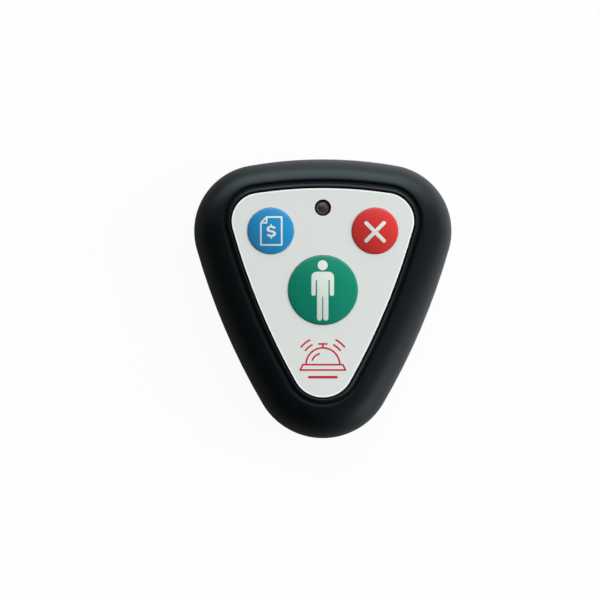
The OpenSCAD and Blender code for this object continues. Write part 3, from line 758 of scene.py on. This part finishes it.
call = key_from("call_button", -0.1 * MM)
bill = key_from("bill_button", 0.05 * MM)
cancel = key_from("cancel_button", 0.05 * MM)
KEYS = [call, bill, cancel]
lamp_low, lamp_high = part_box("lamp")
LAMP_X, LAMP_Y = (lamp_low.x + lamp_high.x) / 2, (lamp_low.y + lamp_high.y) / 2
LENS_R = 1.88 * MM
for key in KEYS:
    print(key.node, "radius %.2f mm" % (key.radius / MM))

# %% [markdown]
# The rings run down the inner wall, round its foot and up over the outside, so one loft makes both
# skins. The deck's flats are filled last. The lip is glossier and has a finish of its own, whose
# lighter tint is a painted highlight along it.

# %% Loft the top cover
WALL = 2 * MM
INSIDE_STEPS = 8
DECK_GAP = 0.2 * MM
DECK_EDGE = 0.15 * MM
LIP_MARGIN = 0.1 * MM
PARTING_STEP = 0.05 * MM
top_cover = start_piece("case_top_cover")
inside = shoulder(PARTING_Z + PARTING_STEP, DECK_UNDER_Z, WALL, INSIDE_STEPS)
outside = shoulder(PARTING_Z, CREST_Z, 0, SHOULDER_STEPS)
loft(inside[::-1] + outside + groove_and_lip())
for key in KEYS:
    bore(key.x, key.y, key.radius + DECK_GAP, RECESS_Z, DECK_UNDER_Z, DECK_EDGE)
bore(LAMP_X, LAMP_Y, LENS_R + DECK_GAP / 2, RECESS_Z, DECK_UNDER_Z, DECK_EDGE)
fill_flat(RECESS_Z)
fill_flat(DECK_UNDER_Z)
shrink()
close_piece(smooth_angle=50)
dress(top_cover, case_black, case_lip_painted_highlight)
# Faces above the crest take the lip's finish with its painted highlight.
for face in top_cover.data.polygons:
    face.material_index = 1 if face.center.z > CREST_Z + LIP_MARGIN else 0
seat(top_cover, "top_cover")

# %% [markdown]
# ## Faceplate
# The faceplate is a sheet of printed plastic with a thin bare white border. A loft gives its edge
# a fine round and lays the border, the holes have the small round of a punched and deburred sheet,
# and the printed field is what Fill lays between them. A small smoothing angle keeps it flat.

# %% Faceplate
EDGE = 0.09 * MM
BORDER = 0.42 * MM
HOLE_GAP = 0.05 * MM
HOLE_EDGE = 0.06 * MM
WINDOW_R = 2.32 * MM
faceplate = start_piece("printed_faceplate")
edge_rings = [
    (PLATE, -TRIM - EDGE * (1 - cos(a)), FACE_Z - EDGE * (1 - sin(a)))
    for a in (0, radians(30), radians(60), radians(80))
]
loft([(PLATE, -TRIM, plate_low.z)] + edge_rings + [(PLATE, -TRIM - BORDER, FACE_Z)])
for key in KEYS:
    bore(key.x, key.y, key.radius + HOLE_GAP, FACE_Z, plate_low.z, HOLE_EDGE)
bore(LAMP_X, LAMP_Y, WINDOW_R, FACE_Z, plate_low.z, HOLE_EDGE)
fill_flat(FACE_Z)
fill_flat(plate_low.z)
shrink()
close_piece(smooth_angle=12)
dress(faceplate, plate_field, plate_border)
for face in faceplate.data.polygons:
    laid_by_fill = abs(face.normal.z) > 0.99 and len(face.vertices) == 3
    face.material_index = 0 if laid_by_fill else 1
seat(faceplate, "faceplate")

# %% [markdown]
# ## Buttons
# A button is a shallow dome with a tightly rounded rim and a straight skirt. Its profile is drawn
# from the top: one sweep for the dome, one for the rim, tangent to it, and straight pulls for the
# skirt and the flange. A last spin of the whole profile round the button's axis turns it like a
# lathe.

# %% Buttons
EDGE_HEIGHT = 0.35 * MM
RIM_R = 0.45 * MM
FLANGE_HEIGHT = 0.65 * MM
DOME_STEPS, RIM_STEPS, TURN_STEPS = 20, 6, 96
Y_AXIS = (0, 1, 0)


def turn_whole(x, y, steps):
    """Turn the whole profile round an upright axis, as a lathe would."""
    bpy.ops.mesh.select_all(action="SELECT")
    sweep((x, y, 0), 2 * pi, steps)


def turned_button(name, key, material):
    """One button, with a dome that meets its rounded rim without a kink."""
    radius = key.radius
    rise = key.crown_z - FACE_Z - EDGE_HEIGHT
    reach = ((radius - RIM_R) ** 2 + rise ** 2) / (2 * rise)
    dome_r = reach + RIM_R
    tilt = asin((radius - RIM_R) / reach)
    rim_z = FACE_Z + EDGE_HEIGHT - RIM_R
    flange_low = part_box(key.node)[0].z
    flange_top = flange_low + FLANGE_HEIGHT
    piece = start_piece(name)
    start_line((key.x, key.y, key.crown_z))
    sweep((key.x, key.y, key.crown_z - dome_r), tilt, DOME_STEPS, Y_AXIS)
    sweep((key.x + radius - RIM_R, key.y, rim_z), pi / 2 - tilt, RIM_STEPS, Y_AXIS)
    pull((0, 0, flange_top - rim_z))
    pull((key.flange_r - radius, 0, 0))
    pull((0, 0, flange_low - flange_top))
    pull((-key.flange_r, 0, 0))
    turn_whole(key.x, key.y, TURN_STEPS)
    close_piece()
    dress(piece, material)
    seat(piece, key.node)
    return piece


call_button = turned_button("call_button_dome", call, key_green)
bill_button = turned_button("bill_button_dome", bill, key_blue)
cancel_button = turned_button("cancel_button_dome", cancel, key_red)

# %% [markdown]
# ## Printed signs
# The signs are an ink layer that follows each dome. They could be painted in the material, but a
# real layer keeps crisp edges from any distance. A sign is first built as upright bars, discs and
# blocks. A bar is a cylinder whose one half is pulled away from the other.

# %% Strokes for the signs
STROKE_LOW = -2 * MM
STROKE_HIGH = 3 * MM
STROKE_DEPTH = STROKE_HIGH - STROKE_LOW
STROKE_MIDDLE = Vector((0, 0, (STROKE_LOW + STROKE_HIGH) / 2))
ROUND_POINTS = 24
ROUND_STEPS = 8


def place_on(key, x, y):
    """A place on a key, from its middle, given in millimetres."""
    return Vector((key.x + x * MM, key.y + y * MM, FACE_Z))


def disc(middle, radius):
    bpy.ops.mesh.select_all(action="DESELECT")
    bpy.ops.mesh.primitive_cylinder_add(
        vertices=2 * ROUND_POINTS, radius=radius, depth=STROKE_DEPTH,
        location=middle + STROKE_MIDDLE,
    )


def select_vertices(test):
    """Keep selected, of what is selected, the vertices that pass a test of their place."""
    mesh = bmesh.from_edit_mesh(bpy.context.object.data)
    chosen = [v for v in mesh.verts if v.select and test(v.co)]
    bpy.ops.mesh.select_all(action="DESELECT")
    for vertex in chosen:
        vertex.select = True
    mesh.select_flush_mode()
    bmesh.update_edit_mesh(bpy.context.object.data)


def bar(start, end, width):
    """A bar with round ends: a cylinder, turned to have no point on the split, pulled apart."""
    way = (end - start).normalized()
    half_step = pi / ROUND_POINTS / 2
    bpy.ops.mesh.select_all(action="DESELECT")
    bpy.ops.mesh.primitive_cylinder_add(
        vertices=2 * ROUND_POINTS, radius=width / 2 / cos(half_step), depth=STROKE_DEPTH,
        location=start + STROKE_MIDDLE,
        rotation=(0, 0, atan2(way.y, way.x) + half_step),
    )
    bpy.ops.mesh.select_mode(type="VERT")
    select_vertices(lambda place: (place - start).dot(way) > 0)
    bpy.ops.transform.translate(value=end - start)


def block(low, high, top_round=0.0):
    """A box between two corners, whose two upper corners may be rounded."""
    bpy.ops.mesh.select_all(action="DESELECT")
    size = high - low
    centre = (low + high) / 2
    bpy.ops.mesh.primitive_cube_add(size=1, location=centre + Vector((0, 0, STROKE_HIGH / 2)))
    bpy.ops.transform.resize(value=(size.x, size.y, STROKE_DEPTH), center_override=centre)
    if top_round:
        bpy.ops.mesh.select_mode(type="VERT")
        select_vertices(lambda place: place.y > centre.y)
        mesh = bmesh.from_edit_mesh(bpy.context.object.data)
        bpy.ops.mesh.select_mode(type="EDGE")
        for edge in mesh.edges:
            upright = abs(edge.verts[0].co.z - edge.verts[1].co.z) > MM
            edge.select = edge.select and upright
        bmesh.update_edit_mesh(bpy.context.object.data)
        bpy.ops.mesh.bevel(offset=top_round, segments=ROUND_STEPS, affect="EDGES")
        bpy.ops.mesh.select_mode(type="VERT")


# %% [markdown]
# The finished bars are cut to the dome's own shape: what they share with a copy of the button that
# is raised by the ink's thickness is kept, and a copy that is lowered a little is cut away
# beneath.

# %% From strokes to an ink layer
INK = 0.02 * MM
INK_ROOT = 0.06 * MM


def raised_copy(button, height):
    """A copy of a button, moved up in its mesh."""
    piece = open_copy(button, "raised_copy")
    bpy.ops.transform.translate(value=(0, 0, height))
    bpy.ops.object.mode_set(mode="OBJECT")
    return piece


def close_strokes():
    """Turn the faces of all the strokes outwards and leave edit mode."""
    bpy.ops.mesh.select_all(action="SELECT")
    bpy.ops.mesh.normals_make_consistent(inside=False)
    bpy.ops.object.mode_set(mode="OBJECT")


def print_on(sign, button, node):
    """Trim a sign's strokes to a layer of white ink on a button's dome."""
    close_strokes()
    cut_with(sign, raised_copy(button, INK), "INTERSECT", "EXACT", use_self=True)
    cut_with(sign, raised_copy(button, -INK_ROOT))
    dress(sign, ink_white)
    bpy.ops.object.shade_smooth_by_angle(angle=radians(40))
    seat(sign, node, hides=False)


# %% [markdown]
# The call sign is a standing figure: a disc for the head, a block with round shoulders, one for
# the body, and bars for the arms and the legs. Its measures are in millimetres, as all signs' are.

# %% The call sign: a standing figure
FIGURE_X = -0.04
HEAD_Y, HEAD_R = 6.93, 1.4
SHOULDER_X, SHOULDER_FOOT, SHOULDER_TOP, SHOULDER_ROUND = 3.15, 2.77, 5.12, 1.5
BODY_X, BODY_FOOT, BODY_TOP = 1.6, -1.82, 3.2
ARM_X, ARM_FOOT, ARM_TOP, ARM_WIDTH = 2.56, -1.05, 3.4, 1.18
LEG_X, LEG_FOOT, LEG_TOP, LEG_WIDTH = 0.865, -7.8, 2.0, 1.45
call_sign = start_piece("call_sign_print")
disc(place_on(call, FIGURE_X, HEAD_Y), HEAD_R * MM)
block(
    place_on(call, FIGURE_X - SHOULDER_X, SHOULDER_FOOT),
    place_on(call, FIGURE_X + SHOULDER_X, SHOULDER_TOP), SHOULDER_ROUND * MM,
)
block(place_on(call, FIGURE_X - BODY_X, BODY_FOOT), place_on(call, FIGURE_X + BODY_X, BODY_TOP))
for side in (-1, 1):
    arm_x = FIGURE_X + side * ARM_X
    bar(place_on(call, arm_x, ARM_TOP), place_on(call, arm_x, ARM_FOOT), ARM_WIDTH * MM)
    leg_x = FIGURE_X + side * LEG_X
    bar(place_on(call, leg_x, LEG_TOP), place_on(call, leg_x, LEG_FOOT), LEG_WIDTH * MM)
print_on(call_sign, call_button, call.node)

# %% The cancel sign: a cross
cancel_sign = start_piece("cancel_sign_print")
CROSS_X, CROSS_Y, CROSS_HALF, CROSS_WIDTH = 0.03, -0.25, 2.48, 1.08
for slope in (-1, 1):
    bar(
        place_on(cancel, CROSS_X - CROSS_HALF, CROSS_Y - slope * CROSS_HALF),
        place_on(cancel, CROSS_X + CROSS_HALF, CROSS_Y + slope * CROSS_HALF), CROSS_WIDTH * MM,
    )
print_on(cancel_sign, cancel_button, cancel.node)

# %% [markdown]
# The bill sign is a sheet of paper with a folded corner and a dollar sign. The sheet is bars from
# corner to corner. The S of the dollar sign is a short stroke swept most of the way round an upper
# and a lower circle, and then widened. Two ticks stand for the bar through it.

# %% The bill sign: a sheet with a dollar sign
bill_sign = start_piece("bill_sign_print")
LINE = 0.46 * MM
LEFT, RIGHT, TOP, FOOT, FOLD = -2.76, 3.06, 3.88, -3.9, 1.6
FOLD_X, FOLD_Y = LEFT + FOLD, TOP - FOLD
sheet_corners = [
    (LEFT, FOLD_Y), (LEFT, FOOT), (RIGHT, FOOT), (RIGHT, TOP),
    (FOLD_X, TOP), (LEFT, FOLD_Y), (FOLD_X, FOLD_Y), (FOLD_X, TOP),
]
for corner, following in zip(sheet_corners, sheet_corners[1:]):
    bar(place_on(bill, *corner), place_on(bill, *following), LINE)
S_X, S_Y, S_RADIUS, S_WIDENING = 0.15, -0.12, 0.65, 1.45
S_START, S_TURN = 15, 255
STROKE = 0.56 * MM
TICK_NEAR, TICK_FAR, TICK_WIDTH = 1.3, 1.85, 0.44


def sweep_stroke(middle, radius, start_angle, turn, width, steps=16):
    """A square stroke swept round a middle: a small face is drawn, spun and so made solid."""
    out = Vector((cos(start_angle), sin(start_angle), 0))
    start_line(middle + out * (radius - width / 2) + Vector((0, 0, STROKE_LOW)))
    pull(out * width)
    bpy.ops.mesh.select_linked()
    pull((0, 0, STROKE_DEPTH))
    bpy.ops.mesh.select_linked()
    sweep(middle, turn, steps)
    bpy.ops.mesh.select_linked()


for middle_y, start_angle in ((S_RADIUS, S_START), (-S_RADIUS, S_START + 180)):
    middle = place_on(bill, S_X, S_Y + middle_y)
    sweep_stroke(middle, S_RADIUS * MM, radians(start_angle), radians(S_TURN), STROKE)
    bpy.ops.transform.resize(value=(S_WIDENING, 1, 1), center_override=place_on(bill, S_X, S_Y))
for side in (-1, 1):
    near, far = S_Y + side * TICK_NEAR, S_Y + side * TICK_FAR
    bar(place_on(bill, S_X, near), place_on(bill, S_X, far), TICK_WIDTH * MM)
print_on(bill_sign, bill_button, bill.node)

# %% [markdown]
# ## The mark on the faceplate
# Below the buttons the faceplate carries a thin red drawing of a desk bell, a common sign for
# service. Its strokes are trimmed to the flat face, two hundredths of a millimetre proud.

# %% Bell mark
bell = start_piece("bell_mark_print")
BELL_Y = -18.4
BELL_R = 4.7
BASE_TOP, BASE_FOOT, BASE_DROP = 5.6, 6.3, 1.5
KNOB = 1.1
GLINT_IN, GLINT_START, GLINT_TURN = 1.5, 105, 55
SOUND_REACHES, SOUND_STARTS, SOUND_TURN = (6.3, 7.8), (38, 117), 25
RULE_HALF, RULE_DROP, RULE_WEIGHT = 3.8, 3.5, 1.5
RED_LINE = 0.48 * MM
SLAB_SIDE, SLAB_DEPTH = 20 * MM, 0.2 * MM


def on_plate(x, y):
    return Vector((x * MM, y * MM, FACE_Z))


middle = on_plate(0, BELL_Y)
sweep_stroke(middle, BELL_R * MM, 0, pi, RED_LINE, steps=40)
glint_r = (BELL_R - GLINT_IN) * MM
sweep_stroke(middle, glint_r, radians(GLINT_START), radians(GLINT_TURN), RED_LINE)
for reach in SOUND_REACHES:
    for start in SOUND_STARTS:
        sweep_stroke(middle, reach * MM, radians(start), radians(SOUND_TURN), RED_LINE, steps=12)
foot_y, top_y, knob_y = BELL_Y - BASE_DROP, BELL_Y + BELL_R, BELL_Y + BELL_R + KNOB
bar(on_plate(-BASE_TOP, BELL_Y), on_plate(BASE_TOP, BELL_Y), RED_LINE)
bar(on_plate(-BASE_FOOT, foot_y), on_plate(BASE_FOOT, foot_y), RED_LINE)
for side in (-1, 1):
    bar(on_plate(side * BASE_TOP, BELL_Y), on_plate(side * BASE_FOOT, foot_y), RED_LINE)
bar(on_plate(0, top_y), on_plate(0, knob_y), RED_LINE)
bar(on_plate(-KNOB, knob_y), on_plate(KNOB, knob_y), RED_LINE)
rule_y = BELL_Y - RULE_DROP
bar(on_plate(-RULE_HALF, rule_y), on_plate(RULE_HALF, rule_y), RULE_WEIGHT * RED_LINE)
close_strokes()
bpy.ops.object.select_all(action="DESELECT")
bpy.ops.mesh.primitive_cube_add(size=1, location=(0, BELL_Y * MM, FACE_Z - SLAB_DEPTH / 2))
slab = bpy.context.object
slab.dimensions = (SLAB_SIDE, SLAB_SIDE, SLAB_DEPTH + 2 * INK)
bpy.ops.object.transform_apply(location=True, rotation=True, scale=True)
cut_with(bell, slab, "INTERSECT", "EXACT", use_self=True)
dress(bell, ink_red)
seat(bell, "faceplate", hides=False)

# %% [markdown]
# ## Signal lamp
# A small lamp with a low round end that nearly fills its window, standing on a wider foot. Its
# profile is drawn from the tip: one sweep for the end, then pulls down and out, and a turn.

# %% Lamp
LENS_RISE = 0.75 * MM
LAMP_FOOT_HEIGHT = 1 * MM
LENS_STEPS, LAMP_TURN_STEPS = 12, 48
LENS_BEND = (LENS_R ** 2 + LENS_RISE ** 2) / (2 * LENS_RISE)
lamp = start_piece("lamp_lens")
start_line((LAMP_X, LAMP_Y, lamp_high.z))
lens_turn = asin(LENS_R / LENS_BEND)
sweep((LAMP_X, LAMP_Y, lamp_high.z - LENS_BEND), lens_turn, LENS_STEPS, Y_AXIS)
foot_top = lamp_low.z + LAMP_FOOT_HEIGHT
foot_r = lamp_high.x - LAMP_X
pull((0, 0, foot_top - (lamp_high.z - LENS_RISE)))
pull((foot_r - LENS_R, 0, 0))
pull((0, 0, lamp_low.z - foot_top))
pull((-foot_r, 0, 0))
turn_whole(LAMP_X, LAMP_Y, LAMP_TURN_STEPS)
close_piece()
dress(lamp, lamp_tint)
seat(lamp, "lamp")

# %% [markdown]
# ## The back
# The bottom cover, the hatch, its seal and the feet are mostly turned and drilled shapes that CAD
# already has exactly. Their meshes are copied, the loose triangles are merged and dissolved into
# clean faces, and a bevel breaks every sharp edge, as moulding does. The hatch has lugs too small
# for that, so only the edges of its outer face are picked and bevelled.

# %% Copies of CAD meshes with broken edges
SHARP = radians(35)


def clean_copy(node, name):
    """A copy of a CAD node's mesh, its triangles merged into flat faces."""
    piece = open_copy(frame["nodes"][node], name)
    bpy.ops.mesh.remove_doubles(threshold=0.002 * MM)
    bpy.ops.mesh.dissolve_limited(angle_limit=radians(0.5))
    bpy.ops.object.mode_set(mode="OBJECT")
    return piece


def bevelled_copy(node, name, width, segments=2):
    """A clean copy whose sharp edges are rounded. Weighted normals keep its flat faces flat."""
    piece = clean_copy(node, name)
    bpy.ops.object.shade_smooth_by_angle(angle=SHARP)
    use_modifier(
        piece, "BEVEL", width=width, segments=segments, limit_method="ANGLE", angle_limit=SHARP,
        harden_normals=True,
    )
    use_modifier(piece, "WEIGHTED_NORMAL", keep_sharp=True, weight=100)
    return piece


bottom_cover = bevelled_copy("bottom_cover", "case_bottom_cover", width=0.12 * MM)
dress(bottom_cover, back_black)
seat(bottom_cover, "bottom_cover")
hatch = clean_copy("battery_hatch", "coin_slot_hatch")
BACK_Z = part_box("battery_hatch")[0].z
bpy.ops.object.mode_set(mode="EDIT")
select_edges(
    lambda edge: edge.calc_face_angle(0) > SHARP
    and all(abs(vertex.co.z - BACK_Z) < HAIR for vertex in edge.verts)
)
bpy.ops.mesh.bevel(offset=0.2 * MM, segments=3)
bpy.ops.object.mode_set(mode="OBJECT")
bpy.ops.object.shade_smooth_by_angle(angle=SHARP)
use_modifier(hatch, "WEIGHTED_NORMAL", keep_sharp=True)
dress(hatch, hatch_black)
seat(hatch, "battery_hatch")
feet = bevelled_copy("rubber_feet", "rubber_foot_pads", width=0.2 * MM, segments=3)
dress(feet, foot_rubber)
seat(feet, "rubber_feet")

# %% [markdown]
# ## Snap domes
# Under each plunger a thin steel dome snaps flat as the button goes down, which makes its click.
# The record says which dome belongs to which button, and each dome is copied, smoothed and dressed
# in steel.

# %% Snap domes
for joint in frame["record"]["behaviour"]["joints"]:
    for deforming in joint.get("deforming_nodes", []):
        node = deforming["node"]
        dome = clean_copy(node, node + "_click")
        bpy.ops.object.shade_smooth_by_angle(angle=radians(40))
        dress(dome, stamped_steel)
        seat(dome, node)
        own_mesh(dome)

# %% [markdown]
# ## Pieces inside the case
# These keep their CAD shape. Each gets the finish of what it is made of.

# %% Finishes for the inner pieces
cell_low, cell_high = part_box("coin_cell")
nickel = turned_metal("nickel_plated_cell", (0.66, 0.65, 0.62), 0.22, (cell_low + cell_high) / 2)
INNER = {
    tape_film: ["faceplate_tape"],
    nylon_ivory: ["call_plunger", "bill_plunger", "cancel_plunger"],
    stamped_steel: ["switch_covers", "resonator_can"],
    nylon_black: ["switch_bases", "cell_holder"],
    tinned: ["switch_legs", "lamp_legs", "encoder_pins"],
    mask_green: ["circuit_board"],
    chip_epoxy: ["encoder_chip", "transistor"],
    resistor_black: ["resistors"],
    capacitor_tan: ["capacitors"],
    enamelled_copper: ["antenna_coil"],
    nickel: ["coin_cell"],
    spring_strip: ["positive_contact", "negative_contact"],
    seal_rubber: ["hatch_seal"],
    zinc: ["case_screws", "board_screws"],
}
for material, nodes in INNER.items():
    for node in nodes:
        dress(frame["nodes"][node], material)
print("inner pieces dressed:", sum(len(nodes) for nodes in INNER.values()))

# %% [markdown]
# ## Studio
# The photograph is a straight look at the face, lit from beyond the lamp end and from the right,
# with white all round. The floor is white to the camera and still takes a soft shadow. Its glow in
# the case's reflections is painted dimmer on the left, a painted shade on the side away from the
# light.

# %% Floor
FLOOR_SIZE = 6.0
FLOOR_GLOW = 0.95
LIT_SPAN, LIT_RELIEF, DIM = 0.035, 0.7, 0.1
bpy.ops.object.select_all(action="DESELECT")
bpy.ops.mesh.primitive_plane_add(size=FLOOR_SIZE, location=(0, 0, 0))
floor = bpy.context.object
floor.name = "floor"
paper = Finish("white_paper", roughness=0.9, specular_ior_level=0.2)
fibre = paper.noise(1.2 * MM, 4, 0.6)
paper.set(base_color=paper.mix(fibre, colour(0.8, 0.8, 0.8), colour(0.83, 0.83, 0.83)))
seen = paper.node("ShaderNodeLightPath", output="Is Camera Ray")
mirrored = paper.node("ShaderNodeLightPath", output="Is Glossy Ray")
through = paper.node("ShaderNodeLightPath", output="Is Transmission Ray")
# Painted shade: in reflections the floor's glow is painted dimmer towards its left.
to_lit_side = paper.along("X", paper.place) + 0.5 * paper.along("Y", paper.place)
shade = mirrored * (1 - LIT_RELIEF * to_lit_side.ramp(-LIT_SPAN, LIT_SPAN))
glow_tint = paper.mix(shade, colour(1, 1, 1), colour(DIM, DIM, DIM))
glow = paper.node("ShaderNodeEmission", inputs={"Color": glow_tint, "Strength": 1.0})
share = FLOOR_GLOW * (seen + mirrored + through)
paper_shader = Value(paper, paper.shader.outputs["BSDF"])
surface = paper.node("ShaderNodeMixShader", inputs={0: share, 1: paper_shader, 2: glow})
paper.feed(paper.tree.nodes["Material Output"].inputs["Surface"], surface)
floor.data.materials.append(paper.material)

# %% [markdown]
# The world is a bright bank of light beyond the lamp end, a weak one on the right and nearly
# nothing overhead, where the camera is. The camera itself sees plain white.

# %% World
world = bpy.data.worlds.new("studio")
bpy.context.scene.world = world
sky = Tree(world)
towards = sky.node("ShaderNodeTexCoord", output="Generated")
to_right, to_top = sky.along("X", towards), sky.along("Y", towards)
seen = sky.node("ShaderNodeLightPath", output="Is Camera Ray")
AMBIENT, TOP_LIGHT, LOW_LIGHT, RIGHT_LIGHT = 0.012, 1.5, 1.4, 0.13
TOP_SPAN, LOW_SPAN, RIGHT_SPAN = (0.3, 0.75), (0.65, 1.0), (0.0, 0.3)
level = AMBIENT + TOP_LIGHT * to_top.ramp(*TOP_SPAN) + LOW_LIGHT * to_top.ramp(*LOW_SPAN)
level = level + RIGHT_LIGHT * to_right.ramp(*RIGHT_SPAN)
background = sky.tree.nodes["Background"]
sky.feed(background.inputs["Color"], colour(1, 1, 1))
sky.feed(background.inputs["Strength"], level + seen * (1 - level))

# %% [markdown]
# Two square lamps give the rest: a low one on the right, which shades the domes, and a weak one
# high up at the lower left. They stay out of reflections, so that they leave no square spots on
# the satin plastic. A small panel close to the lower right only gives the case its sheen there.

# %% Lamps


def softbox(name, place, size, watts):
    """A square area lamp that looks at the object."""
    bpy.ops.object.light_add(type="AREA", location=place)
    lamp_object = bpy.context.object
    lamp_object.name = name
    lamp_object.data.size = size
    lamp_object.data.energy = watts
    lamp_object.rotation_euler = (-Vector(place)).to_track_quat("-Z", "Y").to_euler()
    return lamp_object


key_light = softbox("key_light", place=(1.0, 0.10, 0.55), size=0.8, watts=15.9)
key_light.visible_glossy = False
fill_light = softbox("fill_light", place=(-0.45, -0.35, 1.1), size=1.0, watts=1.2)
fill_light.visible_glossy = False
sheen_light = softbox("sheen_light", place=(0.15, -0.13, 0.03), size=0.12, watts=0.06)
sheen_light.visible_camera = False
sheen_light.visible_diffuse = False

# %% [markdown]
# The camera looks straight down with a very long lens, because the photograph shows no
# perspective. One pixel of the 600 is 0.28 mm at the face, and the object lies a little right of
# the middle.

# %% Camera
PIXEL = 0.2792 * MM
IMAGE_WIDTH = 600
OBJECT_PIXEL = (322.85, 298.75)
LENS = 1500
bpy.ops.object.camera_add()
camera = bpy.context.object
camera.data.lens = LENS
distance = IMAGE_WIDTH * PIXEL * LENS / camera.data.sensor_width
camera.location = (
    (IMAGE_WIDTH / 2 - OBJECT_PIXEL[0]) * PIXEL,
    (OBJECT_PIXEL[1] - IMAGE_WIDTH / 2) * PIXEL,
    FACE_Z + distance,
)
camera.data.clip_end = 10 * distance
bpy.context.scene.camera = camera
bpy.context.scene.view_settings.view_transform = "Standard"
print("camera distance: %.2f m" % distance)
